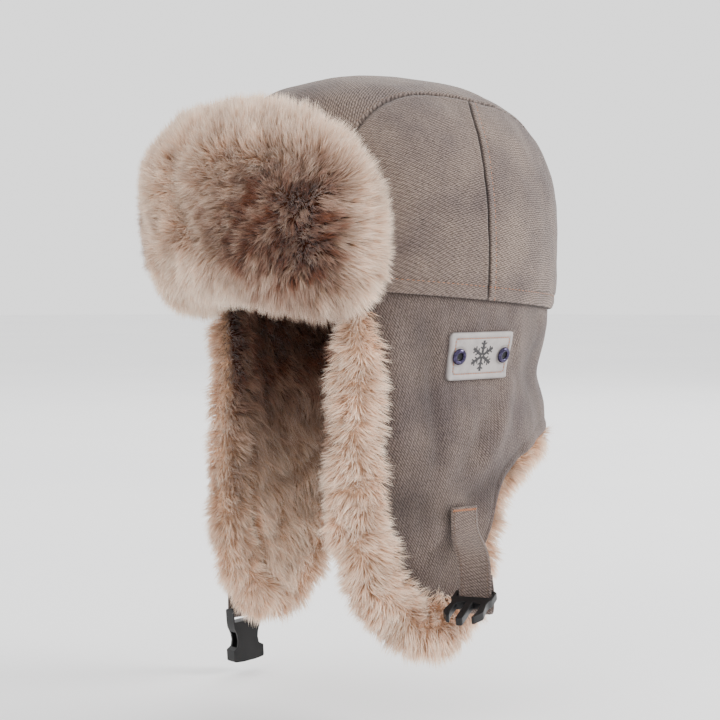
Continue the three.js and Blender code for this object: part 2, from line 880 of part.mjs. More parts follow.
// Plug: the bar at the origin, the prongs towards +Y, flat in Z
function plugGeometry() {
  const { width, slotWidth, bar, slot, plugThick, plugBody, plugReach } = BUCKLE;
  const half = width / 2;
  const bodyEnd = bar / 2 + slot + plugBody - 9;
  const shape = symmetricShape([
    [half - 1.5, -bar / 2],
    [half, 0],
    [half, bodyEnd - 2],
    [half - 1, bodyEnd],
    [half - 1.6, bodyEnd + 4],
    [half - 0.4, plugReach - 11],
    [half - 0.6, plugReach - 9],
    [half - 4, plugReach - 3],
    [half - 5.6, plugReach - 3.4],
    [half - 4.4, plugReach - 10],
    [half - 4.8, bodyEnd + 4],
    [2, bodyEnd + 2],
    [2, plugReach - 1],
    [1.2, plugReach],
  ]);
  shape.holes.push(slotHole(slotWidth, bar / 2, bar / 2 + slot));
  return extruded(shape, plugThick);
}

// Socket: the bar at the origin, the mouth towards -Y, flat in Z
function socketGeometry() {
  const { width, slotWidth, bar, slot, socketThick, socketLength } = BUCKLE;
  const { mouthWidth, mouthThick, mouthDepth } = BUCKLE;
  const half = width / 2;
  const end = bar / 2 - socketLength;
  const shape = symmetricShape([
    [half - 2.4, bar / 2],
    [half - 1.2, 0],
    [half - 1.2, -7],
    [half - 1.6, -11],
    [half - 3.6, -16],
    [half - 4.2, -20],
    [half - 3.4, -24],
    [half, -26],
    [half, end + 1.5],
    [half - 1, end + 0.6],
    [5, end],
  ]);
  shape.holes.push(slotHole(slotWidth, -bar / 2 - slot, -bar / 2));
  const mouth = boxBetween(
    vec(-mouthWidth / 2, end - 5, -mouthThick / 2),
    vec(mouthWidth / 2, end + mouthDepth, mouthThick / 2),
  );
  const besideBar = [-1, 1].map((side) => {
    const near = side * (bar / 2);
    const outer = side * socketThick;
    return boxBetween(
      vec(-slotWidth / 2, -bar / 2 - slot, Math.min(near, outer)),
      vec(slotWidth / 2, bar, Math.max(near, outer)),
    );
  });
  const body = toManifold(extruded(shape, socketThick)).subtract(mouth);
  return toGeometry(body.subtract(besideBar[0]).subtract(besideBar[1]));
}

// Patch and eyelets

// A point near the patch: across it, up it, and out of the skirt's cloth
function patchPoint(across, up, out) {
  const z = PATCH.middleZ + up;
  const angle = angleAtY(PATCH.middleY + across);
  return skirtPoint(angle, z, out + GAP);
}

// The way the patch faces at a distance across it
function patchNormal(across) {
  const reach = EYELET.outer;
  const along = patchPoint(across + reach, 0, 0).sub(patchPoint(across - reach, 0, 0));
  const rise = patchPoint(across, reach, 0).sub(patchPoint(across, -reach, 0));
  return along.cross(rise).normalize();
}

function patchGeometry() {
  const rows = [-1, -0.86, 0, 0.86, 1];
  const columns = 8;
  const at = (i, j, out) => {
    const narrow = Math.abs(rows[j]) === 1 ? PATCH.corner : 0;
    const share = (2 * i) / columns - 1;
    const across = share * (PATCH.width / 2 - narrow * 0.6);
    return patchPoint(across, (rows[j] * PATCH.height) / 2, out);
  };
  const block = gridBody({
    columns,
    rows: rows.length - 1,
    closed: false,
    front: (i, j) => at(i, j, PATCH.thick),
    back: (i, j) => at(i, j, -CLOTH / 2),
  });
  return largestPiece(toManifold(block).subtract(toManifold(skirtShell(GAP))));
}

function eyeletGeometry() {
  const { outer, hole, high } = EYELET;
  const rim = [
    [hole, 0],
    [outer, 0],
    [outer, high * 0.35],
    [outer * 0.75, high],
    [hole + 0.5, high * 0.8],
    [hole, 0],
  ];
  const ring = new THREE.LatheGeometry(rim.map(([r, h]) => new THREE.Vector2(r, h)), 12);
  return ring.rotateX(Math.PI / 2);
}

// Materials

function material(color, roughness, metalness = 0) {
  return new THREE.MeshStandardMaterial({ color, roughness, metalness });
}

const TWILL = () => material(0x8e847d, 0.95);
const FUR = () => material(0xc9b19c, 1);
const PLASTIC = () => material(0x222124, 0.45);
const LEATHER = () => material(0xc9c7c6, 0.6);
const METAL = () => material(0x6a5cb0, 0.3, 0.9);

// Assembly

const ushanka = new THREE.Group();

function place(parent, name, geometry, finish) {
  const mesh = new THREE.Mesh(geometry, finish);
  mesh.name = name;
  parent.add(mesh);
  return mesh;
}

const crown = new THREE.Group();
const panels = crownPanels();
place(crown, 'crown_center_strip', panels.strip, TWILL());
place(crown, 'crown_side_front_left', panels.front, TWILL());
place(crown, 'crown_side_rear_left', panels.rear, TWILL());
place(crown, 'crown_side_front_right', mirrored(panels.front), TWILL());
place(crown, 'crown_side_rear_right', mirrored(panels.rear), TWILL());
ushanka.add(crown);

const forehead = new THREE.Group();
place(forehead, 'forehead_flap_backing', foreheadBacking(0), TWILL());
const foreheadPile = toManifold(foreheadFur(0)).subtract(toManifold(foreheadBacking(GAP)));
place(forehead, 'forehead_fur', largestPiece(foreheadPile), FUR());
ushanka.add(forehead);

const skirt = new THREE.Group();
const furs = edgeFurs();
place(skirt, 'flap_shell', skirtShell(0), TWILL());
place(skirt, 'ear_fur_left', furs.left, FUR());
place(skirt, 'ear_fur_right', furs.right, FUR());
place(skirt, 'neck_fur', furs.neck, FUR());
ushanka.add(skirt);

const straps = new THREE.Group();
place(straps, 'strap_left', strap(LEFT_STRAP, 1), TWILL());
place(straps, 'strap_right', strap(RIGHT_STRAP, -1), TWILL());

const plug = place(straps, 'buckle_plug', plugGeometry(), PLASTIC());
plug.position.set(LEFT_STRAP.x, LEFT_STRAP.y, LEFT_STRAP.barZ);
plug.rotation.order = 'ZYX';
plug.rotation.z = THREE.MathUtils.degToRad(180 + 90 - LEFT_STRAP.turn);
plug.rotation.x = THREE.MathUtils.degToRad(-BUCKLE.plugTilt);
ushanka.add(straps);

const socket = place(straps, 'buckle_socket', socketGeometry(), PLASTIC());
socket.position.set(RIGHT_STRAP.x, RIGHT_STRAP.y, RIGHT_STRAP.barZ);
socket.setRotationFromMatrix(
  new THREE.Matrix4().makeBasis(vec(0, -1, 0), vec(0, 0, 1), vec(-1, 0, 0)),
);
socket.rotateZ(THREE.MathUtils.degToRad(-BUCKLE.socketTilt));

const badge = new THREE.Group();
place(badge, 'patch', patchGeometry(), LEATHER());
for (const [name, sign] of [['eyelet_front', -1], ['eyelet_rear', 1]]) {
  const across = sign * (PATCH.width / 2 - EYELET.inset);
  const eyelet = place(badge, name, eyeletGeometry(), METAL());
  const outward = patchNormal(across);
  eyelet.position.copy(patchPoint(across, 0, PATCH.thick)).addScaledVector(outward, 2 * GAP);
  eyelet.quaternion.setFromUnitVectors(vec(0, 0, 1), outward);
}
ushanka.add(badge);

export default ushanka;
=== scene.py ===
"""A winter hat with a twill crown, deep fur flaps, buckled chin straps and a patch.

The work is done in millimetres, with the part's own sizes, and turned into metres
where a mesh is made. -Y is the way the wearer faces and +X is the wearer's left.
"""
import math

import bmesh
import bpy
import numpy as np
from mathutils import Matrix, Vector


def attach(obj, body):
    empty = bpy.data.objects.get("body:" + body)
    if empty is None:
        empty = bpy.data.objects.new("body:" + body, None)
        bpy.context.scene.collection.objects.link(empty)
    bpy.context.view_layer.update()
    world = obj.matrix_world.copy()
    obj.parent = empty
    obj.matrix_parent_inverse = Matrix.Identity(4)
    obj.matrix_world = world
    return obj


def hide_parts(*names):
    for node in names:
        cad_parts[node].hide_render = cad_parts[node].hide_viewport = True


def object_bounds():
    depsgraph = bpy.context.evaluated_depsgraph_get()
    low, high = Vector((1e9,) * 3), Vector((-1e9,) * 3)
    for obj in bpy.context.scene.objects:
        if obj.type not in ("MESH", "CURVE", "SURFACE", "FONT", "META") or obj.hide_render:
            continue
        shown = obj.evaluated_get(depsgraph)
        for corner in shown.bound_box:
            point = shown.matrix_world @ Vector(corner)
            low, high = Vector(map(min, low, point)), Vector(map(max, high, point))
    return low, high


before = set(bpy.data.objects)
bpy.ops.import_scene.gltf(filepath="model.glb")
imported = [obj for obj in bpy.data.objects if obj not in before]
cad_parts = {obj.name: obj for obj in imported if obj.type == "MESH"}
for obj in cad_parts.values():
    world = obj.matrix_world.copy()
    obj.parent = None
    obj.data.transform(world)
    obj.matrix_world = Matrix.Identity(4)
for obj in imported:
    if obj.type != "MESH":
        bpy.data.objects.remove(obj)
cad_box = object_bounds()

MM = 0.001

# Sizes of the part

CLOTH = 2.0
GAP = 0.3
HALF_WIDTH = 90.0
HALF_LENGTH = 106.0
SQUARENESS = 2.2
RIM_MIDDLE = 3.0
RIM_SLOPE = -0.08
HEIGHT_FRONT = 140.0
HEIGHT_BACK = 130.0
BOXINESS = 3.3
BULGE = 0.045

# Edge of the crown's middle strip: how far back, and how far out
STRIP_EDGE = np.array([
    (-120, 57), (-75, 59), (-48, 60), (-15, 63), (10, 66), (40, 62), (75, 58), (120, 55),
], float)

# Seam up each side of the crown: how high, and how far back
SIDE_SEAM = np.array([
    (-20, -1), (0, -1.2), (57, -3.9), (90, -2.4), (110, 0.5), (122, 6), (140, 16),
], float)
TUCK_GAP = 0.8
TUCK = 6.0
FRONT_EDGE_Y = -75.0
WAIST_Z = -43.0
WAIST_HEIGHT = 19.0
WAIST_DEPTH = 7.0

# Lower edge of the skirt: how far back, and how high
LOWER_EDGE = np.array([
    (-75, -126), (-64, -160), (-50, -176), (-34, -181), (-17, -173), (0, -143),
    (9, -119), (19, -104), (36, -92), (60, -82), (106, -76),
], float)

# Folds of the skirt: y and z of both ends, width, push
SKIRT_FOLDS = [
    (34, -93, -7, -112, 9, -3.2),
    (-60, -116, -26, -121, 9, -2.6),
    (-60, -18, -56, -75, 10, 2.5),
    (52, -12, 60, -70, 13, -2.2),
    (-40, -22, -34, -88, 5, -1.5),
    (30, -48, 4, -88, 6, 1.9),
    (8, -62, -24, -104, 7, -1.5),
    (-24, -96, -40, -150, 8, 1.0),
    (70, -14, 84, -62, 7, 1.0),
    (20, -4, 34, -34, 5, -0.8),
]

FOREHEAD_HALF_ARC = 80.0
FOREHEAD_TOP = 106.0
FOREHEAD_END_DROP = 66.0
FOREHEAD_END_RISE = 32.0

# Fur roll round an edge: distance along it, half size across, half size out, shift out
EAR_ROLL = np.array([
    (0, 8, 7, 0), (22, 14, 12, 0), (110, 17, 12, 0), (190, 18, 12, 0),
    (225, 17, 10, -7), (260, 14, 9, -11), (330, 14, 9, -9), (400, 14, 9, -9),
], float)
NECK_ROLL = np.array([(0, 14, 9, -9), (1000, 14, 9, -9)], float)
ROLL_SHIFT = 5.0
SPLIT_Y = 32.0

rng = np.random.default_rng(20817)


# Numbers and curves

def smooth(t):
    t = np.clip(t, 0.0, 1.0)
    return t * t * (3 - 2 * t)


def signed_power(base, power):
    return np.sign(base) * np.abs(base) ** power


def unit(v):
    return v / np.maximum(np.linalg.norm(v, axis=-1, keepdims=True), 1e-9)


def column(values):
    return np.asarray(values, float)[..., None]


def curve_at(keys, values, at):
    """A smooth curve through a table of keys and values."""
    keys = np.asarray(keys, float)
    values = np.asarray(values, float)
    before = np.maximum(np.arange(len(keys)) - 1, 0)
    after = np.minimum(np.arange(len(keys)) + 1, len(keys) - 1)
    slopes = (values[after] - values[before]) / (keys[after] - keys[before])
    at = np.clip(at, keys[0], keys[-1])
    i = np.clip(np.searchsorted(keys, at, side="right") - 1, 0, len(keys) - 2)
    span = keys[i + 1] - keys[i]
    t = (at - keys[i]) / span
    bend = t * (1 - t) * span
    straight = values[i] * (1 - t) ** 2 * (1 + 2 * t) + values[i + 1] * t * t * (3 - 2 * t)
    return straight + bend * ((1 - t) * slopes[i] - t * slopes[i + 1])


def waves(points, seed, size, count=14):
    """A soft bumpy field of about -1 to 1 with bumps of one size, in millimetres."""
    own = np.random.default_rng(seed)
    ways = unit(own.normal(size=(count, 3))) * (2 * math.pi / size)
    ways *= own.uniform(0.6, 1.4, (count, 1))
    turns = own.uniform(0, 2 * math.pi, count)
    return np.sin(points @ ways.T + turns).sum(-1) / math.sqrt(count) * 0.8


# Shape of the hat

def plan_point(angle):
    power = 2 / SQUARENESS
    x = HALF_WIDTH * signed_power(np.cos(angle), power)
    y = HALF_LENGTH * signed_power(np.sin(angle), power)
    return np.stack([x, y, np.zeros_like(x)], -1)


def plan_normal(angle):
    power = 2 - 2 / SQUARENESS
    x = signed_power(np.cos(angle), power) / HALF_WIDTH
    y = signed_power(np.sin(angle), power) / HALF_LENGTH
    return unit(np.stack([x, y, np.zeros_like(x)], -1))


def angle_at_y(y):
    return np.arcsin(signed_power(np.asarray(y, float) / HALF_LENGTH, SQUARENESS / 2))


def rim_height(y):
    return RIM_MIDDLE + RIM_SLOPE * y


def even_angles(start, end, steps):
    fine = np.linspace(start, end, 4001)
    points = plan_point(fine)
    along = np.concatenate([[0], np.cumsum(np.linalg.norm(np.diff(points, axis=0), axis=1))])
    return np.interp(np.linspace(0, along[-1], steps + 1), along, fine)


FRONT = -math.pi / 2
ARC_ANGLES = np.linspace(FRONT, FRONT + math.pi / 2, 2001)
ARC_LENGTHS = np.concatenate([
    [0], np.cumsum(np.linalg.norm(np.diff(plan_point(ARC_ANGLES), axis=0), axis=1)),
])


def angle_at_arc(arc):
    return FRONT + np.sign(arc) * (np.interp(np.abs(arc), ARC_LENGTHS, ARC_ANGLES) - FRONT)


def arc_at_angle(angle):
    """Distance along the plan from the middle of the front, by way of the left side."""
    quarter = ARC_LENGTHS[-1]
    turn = np.asarray(angle, float) - FRONT
    quarters = np.floor(turn / (math.pi / 2))
    rest = turn - quarters * math.pi / 2
    rising = np.interp(rest, ARC_ANGLES - FRONT, ARC_LENGTHS)
    falling = quarter - np.interp(math.pi / 2 - rest, ARC_ANGLES - FRONT, ARC_LENGTHS)
    return quarters * quarter + np.where(quarters % 2 == 0, rising, falling)


def crown_height(y):
    return HEIGHT_FRONT + (HEIGHT_BACK - HEIGHT_FRONT) * (y / HALF_LENGTH + 1) / 2


def crown_spread(rise):
    rise = np.clip(rise, 0, 1)
    return (1 - rise ** BOXINESS) ** (1 / BOXINESS) * (1 + BULGE * np.sin(math.pi * rise))


def crown_point(angle, slope, inset):
    rise = np.sin(slope) ** (2 / BOXINESS)
    plan = plan_point(angle) - plan_normal(angle) * column(inset)
    point = plan * column(crown_spread(rise))
    rim = rim_height(plan_point(angle)[..., 1])
    point[..., 2] = rim + (crown_height(point[..., 1]) - inset - rim) * rise
    return point


def side_seam_y(z):
    return curve_at(SIDE_SEAM[:, 0], SIDE_SEAM[:, 1], z)


def strip_edge_x(y):
    return curve_at(STRIP_EDGE[:, 0], STRIP_EDGE[:, 1], y)


def fold_push(y, z):
    push = np.zeros_like(y)
    for from_y, from_z, to_y, to_z, width, depth in SKIRT_FOLDS:
        along_y = to_y - from_y
        along_z = to_z - from_z
        share = ((y - from_y) * along_y + (z - from_z) * along_z) / (along_y ** 2 + along_z ** 2)
        share = np.clip(share, 0, 1)
        away = np.hypot(y - from_y - share * along_y, z - from_z - share * along_z)
        push += depth * np.exp(-((away / width) ** 2))
    return push


def skirt_point(angle, z, out):
    plan = plan_point(angle)
    y = plan[..., 1]
    backness = smooth((y + 60) / 70)
    waist = np.exp(-(((z - WAIST_Z) / WAIST_HEIGHT) ** 2))
    below = smooth((rim_height(y) - z) / 8)
    push = below * fold_push(y, z) - WAIST_DEPTH * waist * (0.35 + 0.65 * backness)
    push = push - 5 * smooth((-110 - z) / 80)
    point = plan + plan_normal(angle) * column(push - CLOTH - TUCK_GAP + out)
    point[..., 2] = z
    return point


def lower_edge(angle):
    return curve_at(LOWER_EDGE[:, 0], LOWER_EDGE[:, 1], plan_point(angle)[..., 1])


def forehead_point(arc, z, out):
    angle = angle_at_arc(arc)
    plan = plan_point(angle)
    lean = 5 * smooth((z - 50) / 50)
    rim = rim_height(plan[..., 1])
    rise = (z - rim) / (crown_height(plan[..., 1]) - rim)
    point = plan * column(crown_spread(rise)) + plan_normal(angle) * column(2 * GAP + lean + out)
    point[..., 2] = z
    return point


def forehead_span(share):
    across = np.clip(np.abs(share), 0, 1)
    rim = rim_height(plan_point(angle_at_arc(share * FOREHEAD_HALF_ARC))[..., 1])
    rise = 1 - (1 - across ** 5) ** 0.45
    drop = 1 - (1 - across ** 2.6) ** 0.45
    low = rim - 4 - 13 * smooth(across) + FOREHEAD_END_RISE * rise
    return low, FOREHEAD_TOP - FOREHEAD_END_DROP * drop


# Meshes

def grid_faces(across, up, closed=False):
    """Corners of the faces of a grid of points, each point at across * up_count + up."""
    i, j = np.meshgrid(np.arange(across if closed else across - 1), np.arange(up - 1), indexing="ij")
    i = i.ravel()
    j = j.ravel()
    k = (i + 1) % across
    return np.stack([i * up + j, k * up + j, k * up + j + 1, i * up + j + 1], -1)


def ring_faces(count, sides):
    """Corners of the faces of a tube of count rings with so many sides."""
    i, j = np.meshgrid(np.arange(count - 1), np.arange(sides), indexing="ij")
    i = i.ravel()
    j = j.ravel()
    k = (j + 1) % sides
    return np.stack([i * sides + j, (i + 1) * sides + j, (i + 1) * sides + k, i * sides + k], -1)


def closed_sheet(rows):
    """Faces of a sheet with thickness, each row of its points going once round it."""
    count = rows.shape[1]
    faces = grid_faces(rows.shape[0], count)
    wrap = np.arange(rows.shape[0] - 1) * count
    closing = np.stack([wrap + count - 1, wrap + 2 * count - 1, wrap + count, wrap], -1)
    last = (rows.shape[0] - 1) * count
    ends = [list(reversed(range(count))), [last + j for j in range(count)]]
    return np.vstack([faces, closing]).tolist() + ends


def make_piece(name, points, faces, material, replaces=(), smooth_faces=True):
    """A piece from points in millimetres and faces, a list or an array of corners."""
    mesh = bpy.data.meshes.new(name)
    points = np.asarray(points, float).reshape(-1, 3) * MM
    if isinstance(faces, np.ndarray):
        count = len(faces)
        corners = faces.shape[1]
        mesh.vertices.add(len(points))
        mesh.vertices.foreach_set("co", points.ravel())
        mesh.loops.add(count * corners)
        mesh.loops.foreach_set("vertex_index", faces.ravel().astype(np.int32))
        mesh.polygons.add(count)
        mesh.polygons.foreach_set("loop_start", np.arange(0, count * corners, corners, dtype=np.int32))
        mesh.update(calc_edges=True)
        mesh.validate()
    else:
        mesh.from_pydata(points.tolist(), [], faces)
    return finish_piece(name, mesh, material, replaces, smooth_faces)


def finish_piece(name, mesh, material, replaces, smooth_faces=True):
    mesh.polygons.foreach_set("use_smooth", [smooth_faces] * len(mesh.polygons))
    mesh.materials.clear()
    mesh.materials.append(material)
    piece = bpy.data.objects.new(name, mesh)
    bpy.context.scene.collection.objects.link(piece)
    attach(piece, "root")
    if replaces:
        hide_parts(*replaces)
    return piece


def set_uv(mesh, uv_of_corner):
    layer = mesh.uv_layers.new(name="cloth")
    layer.data.foreach_set("uv", np.asarray(uv_of_corner, np.float32).ravel())


def corner_data(mesh):
    """For each corner of each face: its vertex, and the number of its face."""
    vertex = np.empty(len(mesh.loops), np.int32)
    mesh.loops.foreach_get("vertex_index", vertex)
    totals = np.empty(len(mesh.polygons), np.int32)
    mesh.polygons.foreach_get("loop_total", totals)
    return vertex, np.repeat(np.arange(len(totals)), totals)


def vertex_points(mesh):
    points = np.empty(len(mesh.vertices) * 3)
    mesh.vertices.foreach_get("co", points)
    return points.reshape(-1, 3) / MM


def set_shade(mesh, values):
    layer = mesh.attributes.new("shade", "FLOAT", "POINT")
    layer.data.foreach_set("value", np.asarray(values, np.float32))


def turned(uv, degrees):
    """Turns cloth coordinates so that the wales run along the first of them."""
    turn = math.radians(degrees)
    u = uv[..., 0] * math.cos(turn) + uv[..., 1] * math.sin(turn)
    v = -uv[..., 0] * math.sin(turn) + uv[..., 1] * math.cos(turn)
    return np.stack([u, v], -1)


# Materials

class Nodes:
    """Short ways to add and join the nodes of one material."""

    def __init__(self, name):
        self.material = bpy.data.materials.new(name)
        self.material.use_nodes = True
        self.tree = self.material.node_tree
        self.shader = self.tree.nodes["Principled BSDF"]

    def add(self, kind, **settings):
        node = self.tree.nodes.new(kind)
        for key, value in settings.items():
            setattr(node, key, value)
        return node

    def join(self, source, target):
        if isinstance(source, (int, float)):
            target.default_value = source
        elif isinstance(source, (tuple, list)):
            target.default_value = source
        else:
            self.tree.links.new(source, target)

    def maths(self, operation, a, b=0.0, clamp=False):
        node = self.add("ShaderNodeMath", operation=operation, use_clamp=clamp)
        self.join(a, node.inputs[0])
        self.join(b, node.inputs[1])
        return node.outputs[0]

    def noise(self, vector, scale, detail=2.0, roughness=0.5):
        node = self.add("ShaderNodeTexNoise")
        if vector is not None:
            self.join(vector, node.inputs["Vector"])
        node.inputs["Scale"].default_value = scale
        node.inputs["Detail"].default_value = detail
        node.inputs["Roughness"].default_value = roughness
        return node.outputs["Fac"]

    def ramp(self, factor, stops):
        node = self.add("ShaderNodeValToRGB")
        ramp = node.color_ramp
        while len(ramp.elements) < len(stops):
            ramp.elements.new(0.5)
        for element, (place, colour) in zip(ramp.elements, stops):
            element.position = place
            element.color = (*colour, 1)
        self.join(factor, node.inputs["Fac"])
        return node.outputs["Color"]

    def mix(self, factor, a, b, blend="MIX"):
        node = self.add("ShaderNodeMix", data_type="RGBA", blend_type=blend)
        self.join(factor, node.inputs["Factor"])
        self.join(a, node.inputs["A"])
        self.join(b, node.inputs["B"])
        for socket in node.outputs:
            if socket.type == "RGBA":
                return socket

    def bump(self, height, strength, distance):
        node = self.add("ShaderNodeBump")
        node.inputs["Strength"].default_value = strength
        node.inputs["Distance"].default_value = distance
        self.join(height, node.inputs["Height"])
        self.join(node.outputs["Normal"], self.shader.inputs["Normal"])

    def constants(self, **values):
        for key, value in values.items():
            self.shader.inputs[key.replace("_", " ")].default_value = value


def srgb(red, green, blue):
    def linear(value):
        value = value / 255
        return value / 12.92 if value <= 0.04045 else ((value + 0.055) / 1.055) ** 2.4
    return linear(red), linear(green), linear(blue)


def colour4(red, green, blue):
    return (*srgb(red, green, blue), 1)


def twill_material(name, light, middle, dark):
    """Brushed twill: diagonal wales broken into dashes, soft fading and fuzz, with painted highlight and
    painted shade from the shade attribute.
    """
    n = Nodes(name)
    uv = n.add("ShaderNodeUVMap", uv_map="cloth").outputs["UV"]
    place = n.add("ShaderNodeTexCoord").outputs["Object"]
    split = n.add("ShaderNodeSeparateXYZ")
    n.join(uv, split.inputs[0])
    along = split.outputs["X"]
    across = split.outputs["Y"]
    wobble = n.maths("MULTIPLY", n.noise(uv, 170, 3, 0.6), 0.0019)
    count = n.maths("DIVIDE", n.maths("ADD", across, wobble), 0.00124)
    wale = n.maths("SINE", n.maths("MULTIPLY", count, 2 * math.pi))
    wale = n.maths("ADD", n.maths("MULTIPLY", wale, 0.5), 0.5)
    row = n.maths("FLOOR", n.maths("ADD", count, 0.25))
    shifted = n.maths("ADD", n.maths("DIVIDE", along, 0.0026), n.maths("MULTIPLY", row, 0.37))
    dash = n.maths("SINE", n.maths("MULTIPLY", shifted, 2 * math.pi))
    dash = n.maths("ADD", n.maths("MULTIPLY", dash, 0.5), 0.5)
    streak = n.add("ShaderNodeCombineXYZ")
    n.join(n.maths("MULTIPLY", along, 420), streak.inputs[0])
    n.join(n.maths("MULTIPLY", across, 1150), streak.inputs[1])
    streaks = n.noise(streak.outputs[0], 1.0, 3, 0.65)
    fuzz = n.noise(place, 1150, 4, 0.7)
    height = n.maths("ADD", n.maths("MULTIPLY", wale, 0.32), n.maths("MULTIPLY", dash, 0.16))
    height = n.maths("ADD", height, n.maths("MULTIPLY", streaks, 0.6))
    height = n.maths("ADD", height, n.maths("MULTIPLY", fuzz, 0.56))
    tone = n.maths("MULTIPLY", height, 0.7)
    cloth = n.ramp(tone, [(0.36, dark), (0.54, middle), (0.72, light)])
    fading = n.noise(place, 24, 4, 0.6)
    faded = n.ramp(fading, [(0.34, (0.7, 0.69, 0.73)), (0.64, (1.2, 1.18, 1.13))])
    cloth = n.mix(1.0, cloth, faded, "MULTIPLY")
    # Painted light from the shade attribute: lighter on raised ridges, folds and edges (part wear, part
    # painted highlight); darker in seam grooves, under the crown's rim, inside the crown and near the fur
    # (painted shade, colour 38, 32, 30).
    shade = n.add("ShaderNodeAttribute", attribute_name="shade").outputs["Fac"]
    wear_and_painted_highlight = n.maths("MAXIMUM", shade, 0.0)
    deep = n.maths("MAXIMUM", n.maths("MULTIPLY", shade, -1.0), 0.0)
    cloth = n.mix(n.maths("MULTIPLY", wear_and_painted_highlight, 0.4, True), cloth, (*light, 1))
    cloth = n.mix(n.maths("MULTIPLY", deep, 0.9, True), cloth, colour4(38, 32, 30))
    n.join(cloth, n.shader.inputs["Base Color"])
    n.bump(height, 0.8, 0.0006)
    n.constants(Roughness=0.92, Sheen_Weight=0.15, Sheen_Roughness=0.5, Specular_IOR_Level=0.2)
    return n.material


def fur_material(name):
    """Single hairs, coloured from root to tip by the colours kept on the mesh."""
    n = Nodes(name)
    pile = n.add("ShaderNodeAttribute", attribute_name="pile").outputs["Color"]
    place = n.add("ShaderNodeTexCoord").outputs["Object"]
    patches = n.ramp(n.noise(place, 45, 3, 0.6), [(0.3, (0.86, 0.84, 0.82)), (0.7, (1.1, 1.1, 1.1))])
    n.join(n.mix(1.0, pile, patches, "MULTIPLY"), n.shader.inputs["Base Color"])
    n.constants(Roughness=0.62, Sheen_Weight=0.35, Sheen_Roughness=0.4, Specular_IOR_Level=0.25)
    return n.material


def undercoat_material(name):
    """The dense wool between the hairs."""
    n = Nodes(name)
    place = n.add("ShaderNodeTexCoord").outputs["Object"]
    pile = n.add("ShaderNodeAttribute", attribute_name="pile").outputs["Color"]
    curls = n.noise(place, 420, 4, 0.7)
    tufts = n.ramp(curls, [(0.3, (0.55, 0.52, 0.5)), (0.7, (1.25, 1.2, 1.15))])
    n.join(n.mix(1.0, pile, tufts, "MULTIPLY"), n.shader.inputs["Base Color"])
    n.bump(curls, 0.9, 0.002)
    n.constants(Roughness=0.95, Specular_IOR_Level=0.1)
    return n.material


def plastic_material(name):
    """Moulded black plastic: satin, with fine moulding grain and rubbed edges."""
    n = Nodes(name)
    place = n.add("ShaderNodeTexCoord").outputs["Object"]
    grain = n.noise(place, 1600, 3, 0.6)
    smudge = n.noise(place, 90, 3, 0.6)
    tone = n.ramp(smudge, [(0.35, srgb(11, 11, 12)), (0.7, srgb(20, 19, 20))])
    n.join(tone, n.shader.inputs["Base Color"])
    n.join(n.maths("ADD", 0.3, n.maths("MULTIPLY", smudge, 0.22)), n.shader.inputs["Roughness"])
    n.bump(grain, 0.15, 0.0002)
    n.constants(Specular_IOR_Level=0.25)
    return n.material


def leather_material(name):
    """Pale grey leather with a fine grain; darker along its edge, and painted shade where it turns under,
    in its stitch groove and round the eyelets.
    """
    n = Nodes(name)
    place = n.add("ShaderNodeTexCoord").outputs["Object"]
    cells = n.add("ShaderNodeTexVoronoi")
    n.join(place, cells.inputs["Vector"])
    cells.inputs["Scale"].default_value = 1500
    grain = n.noise(place, 900, 4, 0.65)
    height = n.maths("ADD", cells.outputs["Distance"], n.maths("MULTIPLY", grain, 0.6))
    tone = n.ramp(n.noise(place, 160, 3, 0.6), [(0.3, srgb(144, 138, 136)), (0.7, srgb(162, 155, 152))])
    # The shade attribute darkens the leather along its edge, and as painted shade in the grooves and where
    # the patch turns under.
    shade = n.add("ShaderNodeAttribute", attribute_name="shade").outputs["Fac"]
    deep = n.maths("MAXIMUM", n.maths("MULTIPLY", shade, -1.0), 0.0)
    tone = n.mix(n.maths("MULTIPLY", deep, 0.8, True), tone, colour4(112, 104, 102))
    n.join(tone, n.shader.inputs["Base Color"])
    n.bump(height, 0.3, 0.0002)
    n.constants(Roughness=0.55, Specular_IOR_Level=0.35)
    return n.material


def thread_material(name, first, second):
    """Twisted thread in two tones."""
    n = Nodes(name)
    place = n.add("ShaderNodeTexCoord").outputs["Object"]
    twist = n.noise(place, 1400, 2, 0.6)
    n.join(n.ramp(twist, [(0.35, first), (0.65, second)]), n.shader.inputs["Base Color"])
    n.bump(twist, 0.5, 0.0002)
    n.constants(Roughness=0.75, Sheen_Weight=0.2, Specular_IOR_Level=0.25)
    return n.material


def metal_material(name):
    """Anodised metal, purple-blue, with turning marks."""
    n = Nodes(name)
    place = n.add("ShaderNodeTexCoord").outputs["Object"]
    marks = n.noise(place, 700, 3, 0.6)
    tone = n.ramp(marks, [(0.3, srgb(38, 34, 50)), (0.7, srgb(78, 72, 98))])
    n.join(tone, n.shader.inputs["Base Color"])
    n.join(n.maths("ADD", 0.16, n.maths("MULTIPLY", marks, 0.15)), n.shader.inputs["Roughness"])
    n.constants(Metallic=1.0)
    return n.material


def print_material(name):
    """Dark print rubbed thin in places."""
    n = Nodes(name)
    place = n.add("ShaderNodeTexCoord").outputs["Object"]
    rub = n.noise(place, 1100, 3, 0.6)
    n.join(n.ramp(rub, [(0.3, srgb(28, 26, 28)), (0.75, srgb(48, 45, 47))]), n.shader.inputs["Base Color"])
    n.bump(rub, 0.2, 0.0001)
    n.constants(Roughness=0.6)
    return n.material


